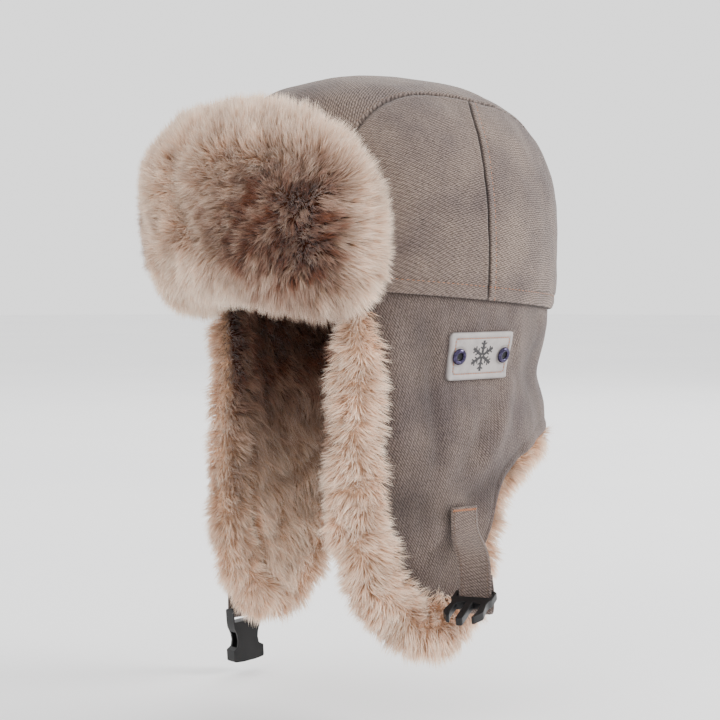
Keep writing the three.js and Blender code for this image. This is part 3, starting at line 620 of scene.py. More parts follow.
CROWN_TWILL = twill_material("crown_twill", srgb(130, 115, 107), srgb(92, 79, 72), srgb(32, 25, 22))
SKIRT_TWILL = twill_material("skirt_twill", srgb(120, 106, 100), srgb(84, 72, 67), srgb(32, 25, 23))
HAIR = fur_material("fur_hair")
WOOL = undercoat_material("fur_wool")
PLASTIC = plastic_material("moulded_black_plastic")
LEATHER = leather_material("patch_leather")
BROWN_THREAD = thread_material("brown_thread", srgb(70, 50, 38), srgb(104, 78, 60))
ORANGE_THREAD = thread_material("orange_thread", srgb(150, 84, 46), srgb(190, 122, 78))
METAL = metal_material("anodised_metal")
PRINT = print_material("patch_print")


# Camera, light and floor

def camera():
    azimuth = math.radians(50)
    elevation = math.radians(3)
    right = Vector((math.cos(azimuth), math.sin(azimuth), 0))
    back = Vector((
        math.sin(azimuth) * math.cos(elevation),
        -math.cos(azimuth) * math.cos(elevation),
        math.sin(elevation),
    ))
    target = Vector((0, 0, -0.036)) - right * 0.01736
    data = bpy.data.cameras.new("photo_camera")
    data.lens = 88.7
    data.sensor_width = 36
    item = bpy.data.objects.new("photo_camera", data)
    item.location = target + back * 1.1
    item.rotation_euler = (-back).to_track_quat("-Z", "Y").to_euler()
    bpy.context.scene.collection.objects.link(item)
    bpy.context.scene.camera = item


def soft_light(name, place, size, power):
    data = bpy.data.lights.new(name, "AREA")
    data.shape = "DISK"
    data.size = size
    data.energy = power
    item = bpy.data.objects.new(name, data)
    item.location = place
    item.rotation_euler = Vector(place).to_track_quat("Z", "Y").to_euler()
    bpy.context.scene.collection.objects.link(item)


def studio():
    world = bpy.data.worlds.new("studio")
    world.use_nodes = True
    world.node_tree.nodes["Background"].inputs["Color"].default_value = (1, 1, 1, 1)
    world.node_tree.nodes["Background"].inputs["Strength"].default_value = 1.7
    bpy.context.scene.world = world
    soft_light("key_light", (0.3, -2.2, 1.5), 1.5, 14)
    soft_light("side_light", (1.8, 1.9, 1.1), 1.2, 84)
    soft_light("back_light", (-1.4, 2.0, 1.5), 1.4, 20)
    n = Nodes("floor")
    place = n.add("ShaderNodeTexCoord").outputs["Object"]
    tone = n.ramp(n.noise(place, 3, 3), [(0.3, (0.9, 0.9, 0.91)), (0.7, (0.93, 0.93, 0.93))])
    n.join(tone, n.shader.inputs["Base Color"])
    n.constants(Roughness=0.9)
    around = np.linspace(0, 2 * math.pi, 96, endpoint=False)
    profile = [(0.02, 0), (1.5, 0), (4.0, 0), (9.0, 0)]
    low = cad_box[0][2] - 0.008
    points = [(r * math.cos(a), r * math.sin(a), low + z) for a in around for r, z in profile]
    mesh = bpy.data.meshes.new("floor")
    hub = len(points)
    faces = grid_faces(96, len(profile), True).tolist()
    rings = len(profile)
    faces += [[hub, ((i + 1) % 96) * rings, i * rings] for i in range(96)]
    mesh.from_pydata([*points, (0, 0, low)], [], [list(reversed(f)) for f in faces])
    mesh.materials.append(n.material)
    floor = bpy.data.objects.new("floor", mesh)
    bpy.context.scene.collection.objects.link(floor)


# Stitches

def stitch_mesh(places, half_length, half_width):
    """Points and faces of many lens-shaped stitches, each at (point, along, out)."""
    ring = np.linspace(0, 2 * math.pi, 6, endpoint=False)
    sections = [(-0.9, 0.45), (-0.3, 1.0), (0.3, 1.0), (0.9, 0.45)]
    points = []
    faces = []
    for point, along, out in places:
        side = np.cross(along, out)
        start = len(points)
        points.append(point - along * half_length)
        for share, fat in sections:
            middle = point + along * half_length * share
            for turn in ring:
                swell = side * math.cos(turn) + out * math.sin(turn)
                points.append(middle + swell * half_width * fat)
        points.append(point + along * half_length)
        for j in range(6):
            k = (j + 1) % 6
            faces.append([start, start + 1 + k, start + 1 + j])
            for s in range(3):
                a = start + 1 + 6 * s
                faces.append([a + j, a + k, a + 6 + k, a + 6 + j])
            faces.append([start + 25, start + 19 + j, start + 19 + k])
    return points, faces


def stitches_on_line(line, out, step, sink=0.05):
    """Even places for stitches along a line of points with outward directions."""
    line = np.asarray(line, float)
    out = unit(np.asarray(out, float))
    along = np.concatenate([[0], np.cumsum(np.linalg.norm(np.diff(line, axis=0), axis=1))])
    places = []
    for at in np.arange(step / 2, along[-1], step):
        at = at + rng.uniform(-0.06, 0.06) * step
        middle = np.array([np.interp(at, along, line[:, k]) for k in range(3)])
        ahead = np.array([np.interp(at + 0.7, along, line[:, k]) for k in range(3)])
        behind = np.array([np.interp(at - 0.7, along, line[:, k]) for k in range(3)])
        facing = unit(np.array([np.interp(at, along, out[:, k]) for k in range(3)]))
        places.append((middle - facing * sink, unit(ahead - behind), facing))
    return places


# Crown

SEAM_STEPS = (-2.6, -1.3, -0.6, 0.0, 0.6, 1.3, 2.6)
SIDE_STITCH = 5.5
STRIP_STITCH = 2.2
HEM_STITCH = 7.0


def seam_profile(away):
    groove = -1.0 * np.exp(-((away / 0.75) ** 2))
    return groove + 0.4 * np.exp(-(((np.abs(away) - 2.1) / 1.2) ** 2))


def crown_grid():
    """Outside of the crown, its folded hem and its inside, as one run of rows."""
    angles = even_angles(FRONT, FRONT + 2 * math.pi, 290)[:-1]
    outer = np.radians(90 * np.linspace(0, 1, 70) ** 1.15)
    inner = np.radians(np.linspace(88, 1.5, 16))
    rows = [crown_point(angles, np.full_like(angles, s), CLOTH) for s in inner]
    for inset, drop in ((CLOTH, 0.0), (1.6, -0.5), (0.9, -0.75), (0.3, -0.5)):
        row = crown_point(angles, np.zeros_like(angles), inset)
        row[..., 2] += drop
        rows.append(row)
    rows += [crown_point(angles, np.full_like(angles, s), 0.0) for s in outer[:-1]]
    points = np.stack(rows, 1)
    faces = grid_faces(points.shape[0], points.shape[1], True).tolist()
    flat = points.reshape(-1, 3)
    top = crown_point(np.array([0.0]), np.array([math.pi / 2]), 0.0)[0]
    hub = len(flat)
    count = points.shape[1]
    faces += [[i * count + count - 1, ((i + 1) % 290) * count + count - 1, hub] for i in range(290)]
    return np.vstack([flat, top[None]]), faces


def cut(mesh, point, normal, offset, chosen):
    """Cuts the chosen faces by a plane moved by offset, and gives the new points."""
    normal = Vector(normal).normalized()
    faces = [f for f in mesh.faces if chosen(f.calc_center_median())]
    parts = list({v for f in faces for v in f.verts}) + list({e for f in faces for e in f.edges}) + faces
    place = Vector(point) + normal * offset
    result = bmesh.ops.bisect_plane(mesh, geom=parts, plane_co=place, plane_no=normal, dist=1e-4)
    return [v for v in result["geom_cut"] if isinstance(v, bmesh.types.BMVert)]


def shift_points(mesh, axis, way, amounts):
    """Slides all points along one axis, so that a curved seam becomes a flat cut."""
    for vertex, amount in zip(mesh.verts, amounts):
        vertex.co[axis] += way * amount


def cut_strip_seams(mesh):
    """The two long seams of the middle strip, with the line of their stitches."""
    lines = {}
    for side in (-1, 1):
        ys = np.array([v.co.y for v in mesh.verts])
        shift_points(mesh, 0, -side, strip_edge_x(ys))
        for step in (*SEAM_STEPS, -STRIP_STITCH):
            found = cut(mesh, (0, 0, 0), (side, 0, 0), step, lambda c: c.z > 4)
            if step == -STRIP_STITCH:
                lines["strip", side] = found
        ys = np.array([v.co.y for v in mesh.verts])
        shift_points(mesh, 0, side, strip_edge_x(ys))
    return lines


def cut_side_seams(mesh):
    """The upright seam of each side, with the line of its stitches."""
    lines = {}
    zs = np.array([v.co.z for v in mesh.verts])
    shift_points(mesh, 1, -1, side_seam_y(zs))
    for side in (-1, 1):
        for step in (*SEAM_STEPS, SIDE_STITCH):
            found = cut(mesh, (0, 0, 0), (0, 1, 0), step, lambda c: c.x * side > 60)
            if step == SIDE_STITCH:
                lines["side", side] = found
    zs = np.array([v.co.z for v in mesh.verts])
    shift_points(mesh, 1, 1, side_seam_y(zs))
    return lines


def is_outside(p):
    """Whether a point lies on the outer face of the crown and not on its inside."""
    rim = RIM_MIDDLE + RIM_SLOPE * p[1]
    rise = min(1.0, max(0.0, (p[2] - rim) / (crown_height(p[1]) - rim)))
    reach = float(crown_spread(np.array(rise))) ** SQUARENESS
    shape = (abs(p[0]) / HALF_WIDTH) ** SQUARENESS + (abs(p[1]) / HALF_LENGTH) ** SQUARENESS
    return shape > reach * 0.975 or rise > 0.985


def build_crown():
    points, faces = crown_grid()
    mesh = bpy.data.meshes.new("crown_cloth")
    mesh.from_pydata(points.tolist(), [], faces)
    work = bmesh.new()
    work.from_mesh(mesh)
    lines = {**cut_strip_seams(work), **cut_side_seams(work)}
    for step in (3.0, HEM_STITCH - 1.2, HEM_STITCH, HEM_STITCH + 1.2):
        found = cut(work, (0, 0, RIM_MIDDLE), (0, -RIM_SLOPE, 1), step, lambda c: c.z < 30)
        if step == HEM_STITCH:
            lines["hem", 0] = found
    work.normal_update()
    work.verts.index_update()
    places = np.array([v.co[:] for v in work.verts])
    normals = np.array([v.normal[:] for v in work.verts])
    x, y, z = places.T
    outside = np.array([is_outside(p) for p in places], float)
    above = z - rim_height(y)
    strip_away = np.abs(x) - strip_edge_x(y)
    side_away = y - side_seam_y(z)
    on_side = strip_away > -0.01
    seam = seam_profile(strip_away)
    side_seam = np.where(on_side, seam_profile(side_away), 0)
    hem = -0.45 * np.exp(-(((above - HEM_STITCH) / 0.9) ** 2))
    hem += 0.35 * np.exp(-(((above - 3.6) / 2.2) ** 2)) + 0.25 * np.exp(-(((above - 9.5) / 1.6) ** 2))
    stitched = -0.28 * np.exp(-(((strip_away + STRIP_STITCH) / 0.7) ** 2))
    stitched += np.where(on_side, -0.25 * np.exp(-(((side_away - SIDE_STITCH) / 0.7) ** 2)), 0)
    soft = 0.75 * waves(places, 3, 60) + 0.28 * waves(places, 4, 21)
    near_seam = np.exp(-np.abs(strip_away) / 9) + np.exp(-np.abs(above - HEM_STITCH) / 6)
    near_seam += np.where(on_side, np.exp(-np.abs(side_away) / 8), 0)
    pucker = 0.16 * waves(places, 5, 9) * np.clip(near_seam, 0, 1.3)
    push = (seam + side_seam + hem + stitched) * np.clip(above / 2, 0, 1)
    push = push + (soft + pucker) * np.clip(above / 12, 0, 1)
    moved = places + normals * (push * outside)[:, None]
    for vertex, place in zip(work.verts, moved):
        vertex.co = place
    work.normal_update()
    threads = {key: seam_line(found, key[0]) for key, found in lines.items()}
    work.to_mesh(mesh)
    work.free()
    # Painted shade and highlight: dark in the seam and hem grooves, lighter on the raised ridges beside the
    # seams and on the rolled hem (part wear, part painted highlight), and an even painted shade over the
    # inside of the crown.
    shade = -0.75 * np.exp(-((strip_away / 0.8) ** 2))
    shade = shade + 0.3 * np.exp(-(((np.abs(strip_away) - 1.9) / 0.9) ** 2))
    shade += np.where(on_side, -1.3 * np.exp(-((side_away / 1.0) ** 2)), 0)
    shade += np.where(on_side, 0.2 * np.exp(-(((np.abs(side_away) - 1.8) / 0.9) ** 2)), 0)
    shade += 0.35 * np.exp(-((above / 1.1) ** 2)) + 0.18 * np.exp(-(((above - 4) / 2.5) ** 2))
    shade -= 0.25 * np.exp(-(((above - HEM_STITCH) / 0.8) ** 2))
    shade = np.where(outside > 0, shade, -0.35)
    set_shade(mesh, np.clip(shade, -1, 1))
    crown_cloth_lines(mesh)
    for vertex in mesh.vertices:
        vertex.co *= MM
    nodes = ["crown_center_strip"]
    nodes += [f"crown_side_{end}_{side}" for end in ("front", "rear") for side in ("left", "right")]
    finish_piece("crown_cloth", mesh, CROWN_TWILL, nodes)
    return threads


def seam_line(found, kind):
    """The points of one seam in order, with outward directions, outside only."""
    kept = []
    for v in found:
        under_strip = kind == "side" and abs(v.co.x) < float(strip_edge_x(v.co.y)) + 1
        if v.is_valid and is_outside(v.co) and not under_strip:
            turn = math.atan2(v.co.z - 40, v.co.y) if kind == "strip" else v.co.z
            if kind == "hem":
                turn = math.atan2(v.co.y, v.co.x)
            kept.append((turn, v.co.copy(), v.normal.copy()))
    kept.sort(key=lambda entry: entry[0])
    return [entry[1][:] for entry in kept], [entry[2][:] for entry in kept]


def crown_cloth_lines(mesh):
    """Cloth coordinates in metres: each panel has wales in its own direction."""
    points = vertex_points(mesh) * MM
    vertex, face = corner_data(mesh)
    centres = np.empty(len(mesh.polygons) * 3)
    mesh.polygons.foreach_get("center", centres)
    centres = centres.reshape(-1, 3)
    x, y, z = points[vertex].T
    strip = np.stack([x, np.arctan2(z - 40, y) * 100], -1)
    shoulder = np.clip(HALF_WIDTH - np.abs(x), 0, 60)
    side = np.stack([y, z + shoulder * 0.75], -1)
    strip_turned = turned(strip, 72)
    side_left = turned(side, 16)
    side_right = turned(side * (-1, 1), 16)
    cx, cy, cz = centres[face].T
    on_side = np.abs(cx) > strip_edge_x(cy)
    uv = np.where((on_side & (cx > 0))[:, None], side_left, strip_turned)
    uv = np.where((on_side & (cx < 0))[:, None], side_right, uv)
    rear = on_side & (cy > side_seam_y(cz))
    uv = uv + np.where(rear, 31.7, 0)[:, None]
    set_uv(mesh, uv * MM)


# Skirt

def build_skirt():
    front = float(angle_at_y(FRONT_EDGE_Y))
    angles = even_angles(front, math.pi - front, 300)
    ups = np.linspace(0, 1, 85)
    low = lower_edge(angles)
    high = rim_height(plan_point(angles)[..., 1]) + TUCK
    z = low[:, None] + (high - low)[:, None] * ups
    turns = np.repeat(angles[:, None], len(ups), 1)
    outer = skirt_point(turns, z, 0.0)
    plan = plan_normal(turns)
    soft = 0.5 * waves(outer, 11, 34) + 0.3 * waves(outer * (1, 1, 0.4), 12, 13)
    edge = ups * (high - low)[:, None]
    calm = smooth((high[:, None] - z - 6) / 14)
    hem = 0.55 * np.exp(-(((edge - 2.4) / 1.8) ** 2)) - 0.35 * np.exp(-(((edge - 6.5) / 0.9) ** 2))
    outer = outer + plan * ((soft * calm + hem)[..., None])
    coarse = ups[::4]
    z_in = low[:, None] + (high - low)[:, None] * coarse
    inner = skirt_point(np.repeat(angles[:, None], len(coarse), 1), z_in, -CLOTH)
    brim = (outer[:, :1] + inner[:, :1]) / 2
    brim[..., 2] -= 0.6
    cap = (outer[:, -1:] + inner[:, -1:]) / 2
    rows = np.concatenate([outer, cap, inner[:, ::-1], brim], 1)
    count = rows.shape[1]
    mesh = bpy.data.meshes.new("skirt_cloth")
    mesh.from_pydata((rows.reshape(-1, 3) * MM).tolist(), [], closed_sheet(rows))
    y, zz = vertex_points(mesh).T[1:]
    angle = np.repeat(angles, count)
    below = rim_height(plan_point(angle)[..., 1]) - zz
    up_edge = zz - np.repeat(low, count)
    # Painted shade and highlight: dark just under the crown's rim, in the hem groove and near the front
    # edge by the fur roll; lighter on the rolled lower edge and on folds that stand out, darker in folds
    # that sink in.
    shade = -0.6 * np.exp(-((np.clip(below, 0, None) / 2.2) ** 2))
    shade += 0.3 * np.exp(-((up_edge / 1.3) ** 2)) - 0.2 * np.exp(-(((up_edge - 6.5) / 0.8) ** 2))
    lift = fold_push(y, zz)
    shade += np.clip(lift / 9, -0.4, 0.2)
    shade -= 0.34 * np.exp(-(((y - FRONT_EDGE_Y) / 52) ** 2)) * smooth((20 - zz) / 40)
    set_shade(mesh, np.clip(shade, -1, 1))
    arc = np.repeat(arc_at_angle(angles), count)
    cloth = turned(np.stack([arc, zz], -1), -53) * MM
    vertex = corner_data(mesh)[0]
    set_uv(mesh, cloth[vertex])
    skirt = finish_piece("skirt_cloth", mesh, SKIRT_TWILL, ["flap_shell"])
    return skirt


# Forehead flap

def build_backing():
    shares = np.linspace(-1, 1, 81)
    ups = np.linspace(0, 1, 41)
    low, high = forehead_span(shares)
    z = low[:, None] + (high - low)[:, None] * ups
    arc = np.repeat((shares * FOREHEAD_HALF_ARC)[:, None], len(ups), 1)
    front = forehead_point(arc, z, CLOTH)
    back = forehead_point(arc, z, 0.15)
    border = (front + back) / 2
    bottom = border[:, :1] - np.array([0, 0, 0.5])
    top = border[:, -1:] + np.array([0, 0, 0.5])
    rows = np.concatenate([front, top, back[:, ::-1], bottom], 1)
    count = rows.shape[1]
    mesh = bpy.data.meshes.new("forehead_cloth")
    mesh.from_pydata((rows.reshape(-1, 3) * MM).tolist(), [], closed_sheet(rows))
    set_shade(mesh, np.zeros(rows.size // 3))
    cloth = np.stack([np.repeat(shares * FOREHEAD_HALF_ARC, count), rows[..., 2].ravel()], -1)
    vertex = corner_data(mesh)[0]
    set_uv(mesh, (turned(cloth, 60) * MM)[vertex])
    piece = finish_piece("forehead_cloth", mesh, SKIRT_TWILL, ["forehead_flap_backing"])


# Fur

WHORLS = np.array([(52.0, 41.0, 1.0), (-74.0, 42.0, 0.6)])
ROOT = np.array(srgb(150, 104, 78))
BODY = np.array(srgb(232, 194, 162))
TIP = np.array(srgb(255, 242, 226))
# Dark copies of the hair colours, blended in by darkness: mostly painted shade, partly tone that differs at
# random.
DARK_ROOT = np.array(srgb(42, 22, 14))
DARK_BODY = np.array(srgb(88, 46, 29))
DARK_TIP = np.array(srgb(150, 94, 66))


def pile_colour(share, darkness):
    """Colour of hairs at a share of their length, for a darkness from 0 to 1 that blends in the dark copies
    (mostly painted shade).
    """
    share = column(share)
    pale = np.where(share < 0.5, ROOT + (BODY - ROOT) * share * 2, BODY + (TIP - BODY) * (share * 2 - 1))
    deep = np.where(
        share < 0.5,
        DARK_ROOT + (DARK_BODY - DARK_ROOT) * share * 2,
        DARK_BODY + (DARK_TIP - DARK_BODY) * (share * 2 - 1),
    )
    return pale + (deep - pale) * column(darkness)


def sample_faces(points, faces, weights, count):
    """Even random places on four-sided faces: point, normal, face and place in it."""
    a, b, c, d = (points[faces[:, k]] for k in range(4))
    normal = unit(np.cross(c - a, d - b))
    area = np.linalg.norm(np.cross(c - a, d - b), axis=1) / 2 * weights
    chosen = rng.choice(len(faces), size=count, p=area / area.sum())
    s = rng.random(count)[:, None]
    t = rng.random(count)[:, None]
    place = (a[chosen] * (1 - s) + b[chosen] * s) * (1 - t) + (d[chosen] * (1 - s) + c[chosen] * s) * t
    corner = np.zeros_like(points)
    for k in range(4):
        np.add.at(corner, faces[:, k], normal)
    corner = unit(corner)
    na, nb, nc, nd = (corner[faces[chosen, k]] for k in range(4))
    facing = unit((na * (1 - s) + nb * s) * (1 - t) + (nd * (1 - s) + nc * s) * t)
    return place, facing, chosen, s[:, 0], t[:, 0]


def clumps(places, size, seed):
    """For each place: the way to the middle of its clump, and the clump's own numbers."""
    cells = np.floor(places / size)
    best = np.full(len(places), np.inf)
    way = np.zeros_like(places)
    own = np.zeros((len(places), 3))
    for dx in (-1, 0, 1):
        for dy in (-1, 0, 1):
            for dz in (-1, 0, 1):
                cell = cells + (dx, dy, dz)
                key = cell @ (12.9898, 78.233, 37.719) + seed
                jitter = np.stack([np.sin(key * k) * 43758.5453 % 1 for k in (1.0, 1.7, 2.3)], -1)
                centre = (cell + jitter) * size
                distance = np.linalg.norm(centre - places, axis=1)
                nearer = distance < best
                best = np.where(nearer, distance, best)
                way = np.where(nearer[:, None], centre - places, way)
                own = np.where(nearer[:, None], jitter, own)
    return way, own * 2 - 1


def hair_piece(name, places, facing, lean, length, width, darkness, clump_size, replaces, seed):
    """Joined flat hairs, bent from their facing at the root to their lean at the tip."""
    way, own = clumps(places, clump_size, seed)
    fine, tiny = clumps(places, clump_size * 0.36, seed + 5)
    count = len(places)
    lean = unit(lean + own * 0.15 + tiny * 0.13 + rng.normal(0, 0.1, (count, 3)))
    length = length * (1 + 0.1 * own[:, 0] + 0.08 * tiny[:, 1]) * rng.uniform(0.72, 1.1, count)
    pull = way - facing * (way * facing).sum(1)[:, None]
    near = fine - facing * (fine * facing).sum(1)[:, None]
    tip = places + lean * length[:, None] + pull * 0.2 + near * 0.34
    bend = places + facing * length[:, None] * 0.5 + pull * 0.06
    middle = places * 0.2 + bend * 0.5 + tip * 0.3
    chord = unit(tip - places)
    side = unit(np.cross(chord, facing + rng.normal(0, 0.45, (count, 3))))
    half = column(width * rng.uniform(0.75, 1.25, count) / 2)
    rows = [places - side * half, places + side * half]
    rows += [middle - side * half * 0.8, middle + side * half * 0.8, tip]
    points = np.stack(rows, 1)
    base = np.arange(count)[:, None] * 5
    triangles = np.concatenate([base + (0, 1, 3), base + (0, 3, 2), base + (2, 3, 4)], 1).reshape(-1, 3)
    tint = column((1 + rng.normal(0, 0.07, count)) * (1 + 0.07 * own[:, 1] + 0.05 * tiny[:, 2]))
    dark = np.clip(darkness + 0.14 * own[:, 2] * (darkness > 0.02), 0, 1)
    shares = (0.0, 0.0, 0.52, 0.52, 1.0)
    colours = np.stack([pile_colour(np.full(count, s), dark) * tint for s in shares], 1)
    piece = make_piece(name, points, triangles, HAIR, replaces)
    set_pile(piece.data, colours.reshape(-1, 3))
    return piece


def set_pile(mesh, colours):
    layer = mesh.attributes.new("pile", "FLOAT_COLOR", "POINT")
    full = np.concatenate([colours, np.ones((len(colours), 1))], 1)
    layer.data.foreach_set("color", full.astype(np.float32).ravel())


def fur_depth(across, up):
    sides = np.sqrt(np.clip(1 - np.abs(across) ** 5, 0, 1))
    ends = np.sqrt(np.clip(1 - np.abs(up) ** 3.4, 0, 1))
    return 14 + 31 * sides * ends


FOREHEAD_INSET = 8.0
FOREHEAD_HAIRS = 56000
HAIR_WIDTH = 0.42


def forehead_coat():
    """The dense body of the forehead fur, folded over to the cloth at its borders."""
    wide = np.linspace(-1.14, 1.14, 77)
    tall = np.linspace(-1.2, 1.2, 53)
    a, u = np.meshgrid(wide, tall, indexing="ij")
    fold = np.clip(np.maximum((np.abs(a) - 1) / 0.14, (np.abs(u) - 1) / 0.2), 0, 1)
    a = np.clip(a, -1, 1)
    u = np.clip(u, -1, 1)
    low, high = forehead_span(a)
    low = low - 1 + FOREHEAD_INSET * 0.7
    high = high + 8 - FOREHEAD_INSET
    z = (high + low) / 2 + (high - low) / 2 * u
    arc = a * (FOREHEAD_HALF_ARC + 8 - FOREHEAD_INSET)
    out = (CLOTH / 2 + fur_depth(a * 0.985, u * 0.985) - FOREHEAD_INSET) * (1 - fold) + CLOTH * fold
    points = forehead_point(arc, z, out)
    normals = plan_normal(angle_at_arc(arc))
    points = points + normals * (waves(points, 21, 30) * 2.2 * (1 - fold))[..., None]
    info = np.stack([arc, z, a, u], -1)
    return points.reshape(-1, 3), grid_faces(len(wide), len(tall)), info.reshape(-1, 4)


def pick(info, faces, chosen, s, t):
    corners = info[faces[chosen]]
    s = s[:, None]
    t = t[:, None]
    near = corners[:, 0] * (1 - s) + corners[:, 1] * s
    far = corners[:, 3] * (1 - s) + corners[:, 2] * s
    return near * (1 - t) + far * t


def whorl_field(arc, z):
    """Way out of the whorls along the flap and up it, and how near the first one is."""
    way = np.zeros((len(arc), 2))
    for middle, height, strength in WHORLS:
        step = np.stack([arc - middle, z - height], -1)
        far = np.linalg.norm(step, axis=1)
        share = strength * np.exp(-far / 50) * smooth(far / 34)
        way += step / np.maximum(far, 1)[:, None] * share[:, None]
    near = [np.hypot(arc - m, (z - h) * 1.05) for m, h, _ in WHORLS]
    return way, near


def build_forehead_fur():
    points, faces, info = forehead_coat()
    arcs = info[:, 0]
    way, near = whorl_field(arcs, info[:, 1])
    # Painted shade on the wool under the hairs, deepest round the whorls.
    darkness = 0.8 * np.exp(-((near[0] / 37) ** 4)) + 0.6 * np.exp(-((near[1] / 30) ** 4)) + 0.2
    coat = make_piece("forehead_wool", points, faces, WOOL)
    set_pile(coat.data, pile_colour(np.full(len(points), 0.35), darkness))
    count = FOREHEAD_HAIRS
    for name, sign, seed in (("forehead_hair_left", 1, 31), ("forehead_hair_right", -1, 32)):
        chosen_faces = faces[(arcs[faces].mean(1) * sign) >= 0]
        weights = np.ones(len(chosen_faces))
        place, facing, chosen, s, t = sample_faces(points, chosen_faces, weights, count)
        arc, z, a, u = pick(info, chosen_faces, chosen, s, t).T
        way, near = whorl_field(arc, z)
        flat = plan_normal(angle_at_arc(arc))
        along = np.stack([-flat[:, 1], flat[:, 0], np.zeros(count)], -1)
        upward = np.array([0.0, 0.0, 1.0])
        strength = np.linalg.norm(way, axis=1, keepdims=True)
        way = way / np.maximum(strength, 1e-6) * np.clip(strength * 2.2, 0, 0.8)
        comb = along * way[:, :1] + upward * way[:, 1:]
        across_edge = smooth((np.abs(a) - 0.5) / 0.5)
        upper_edge = smooth((np.abs(u) - 0.45) / 0.55)
        edge = along * (np.sign(a) * across_edge)[:, None] + upward * (np.sign(u) * upper_edge)[:, None]
        border = np.maximum(across_edge, upper_edge)
        lean = facing + comb * column(0.1 + 0.25 * border) + edge * 0.62 - upward * 0.05
        lean = lean + (along * waves(place, 42, 34)[:, None] + upward * waves(place, 43, 30)[:, None]) * 0.2
        # Painted shade between the hairs where they stand end-on round the whorls, fading towards the
        # sides; plus mottled darkening over the middle, part random tone and part painted shade, less near
        # the top and bottom edges.
        end_on = np.exp(-((near[0] / 42) ** 4)) + 0.7 * np.exp(-((near[1] / 30) ** 4))
        length = 12.5 - 1.5 * end_on + 4.5 * border
        grains = 1.0 + 0.3 * waves(place, 41, 7) - 0.16 * np.abs(waves(place, 45, 26))
        dark = 0.82 * end_on * np.clip(grains, 0.25, 1.15) * (1 - 0.8 * smooth((np.abs(a) - 0.72) / 0.2))
        mottled = smooth(waves(place, 44, 16) * 0.8 + 0.2)
        inner = 1 - smooth((np.abs(a) - 0.7) / 0.25)
        dark = dark + (0.12 + 0.24 * mottled) * inner * (1 - 0.6 * upper_edge)
        hair_piece(
            name, place - facing * 3.0, facing, lean, length, HAIR_WIDTH, np.clip(dark, 0, 1), 5.5,
            ["forehead_fur"] if sign > 0 else (), seed,
        )


def edge_route(start, end, down_front):
    """Angle and height at places down the front edge of a flap and along its lower edge."""
    angles = []
    heights = []
    if down_front:
        low = float(lower_edge(np.array(start)))
        top = float(rim_height(plan_point(np.array(start))[1])) - 12
        heights += list(np.arange(top, low, -2.0))
        angles += [start] * len(heights)
    turns = np.linspace(start, end, 241)
    angles += list(turns)
    heights += list(lower_edge(turns))
    return np.array(angles), np.array(heights)


def roll_coat(start, end, down_front, sizes, inset):
    """A closed tube round an edge, as points, faces and each point's own numbers."""
    angles, heights = edge_route(start, end, down_front)
    line = skirt_point(angles, heights, -CLOTH / 2)
    along = np.concatenate([[0], np.cumsum(np.linalg.norm(np.diff(line, axis=0), axis=1))])
    even = np.linspace(0, along[-1], int(along[-1] / 4.5))
    line = np.stack([np.interp(even, along, line[:, k]) for k in range(3)], -1)
    angle = np.interp(even, along, angles)
    tangent = unit(np.gradient(line, axis=0))
    for _ in range(3):
        tangent[1:-1] = (tangent[:-2] + tangent[1:-1] + tangent[2:]) / 3
    normal = plan_normal(angle)
    away = unit(np.cross(unit(tangent), normal))
    across = curve_at(sizes[:, 0], sizes[:, 1], even) - inset
    thick = curve_at(sizes[:, 0], sizes[:, 2], even) - inset
    out = curve_at(sizes[:, 0], sizes[:, 3], even)
    sides = 18
    turn = 2 * math.pi * (np.arange(sides) + 0.5) / sides
    points = line[:, None] + away[:, None] * (ROLL_SHIFT + across[:, None] * np.cos(turn))[..., None]
    points = points + normal[:, None] * (out[:, None] + thick[:, None] * np.sin(turn))[..., None]
    swell = (waves(points, 51, 19) * 1.6)[..., None]
    points = points + unit(points - points.mean(1, keepdims=True)) * swell
    count = len(even)
    covered = (out[:, None] < -5) & (np.cos(turn) < -0.35) & (np.sin(turn) > -0.15)
    kind = np.where(covered, 2.0, 1.0)
    info = np.stack([
        np.repeat(away[:, None, k2], sides, 1) for k2 in range(3)
    ] + [np.repeat(even[:, None], sides, 1), np.repeat(turn[None], count, 0), kind], -1)
    return points.reshape(-1, 3), ring_faces(count, sides), info.reshape(-1, 6)


def slab_coat(start, end, inset):
    """The inner face of the lining between two angles of the plan."""
    angles = even_angles(start, end, 60)
    ups = np.linspace(0, 1, 56)
    low = lower_edge(angles) + 2
    high = rim_height(plan_point(angles)[..., 1]) + 3
    z = low[:, None] + (high - low)[:, None] * ups
    turns = np.repeat(angles[:, None], len(ups), 1)
    depth = 5 + 10 * smooth(z / -70) - inset
    points = skirt_point(turns, z, -CLOTH - GAP - np.maximum(depth, 0.6))
    normals = plan_normal(turns)
    points = points - normals * (waves(points, 52, 24) * 1.2)[..., None]
    faces = grid_faces(len(angles), len(ups))[:, ::-1]
    info = np.zeros((*z.shape, 6))
    info[..., 3] = z
    return points.reshape(-1, 3), faces, info.reshape(-1, 6)


def mirror(points, faces, info):
    info = info.copy()
    info[:, 0] *= -1
    return points * (-1, 1, 1), faces[:, ::-1], info


def join(parts):
    points = np.vstack([p for p, _, _ in parts])
    shift = np.cumsum([0] + [len(p) for p, _, _ in parts[:-1]])
    faces = np.vstack([f + k for (_, f, _), k in zip(parts, shift)])
    return points, faces, np.vstack([i for _, _, i in parts])


# Painted shade inside the lining, deeper the higher up into the hat.
def lining_painted_shade(z):
    return np.clip((z + 142) / 104, 0, 1) ** 0.9


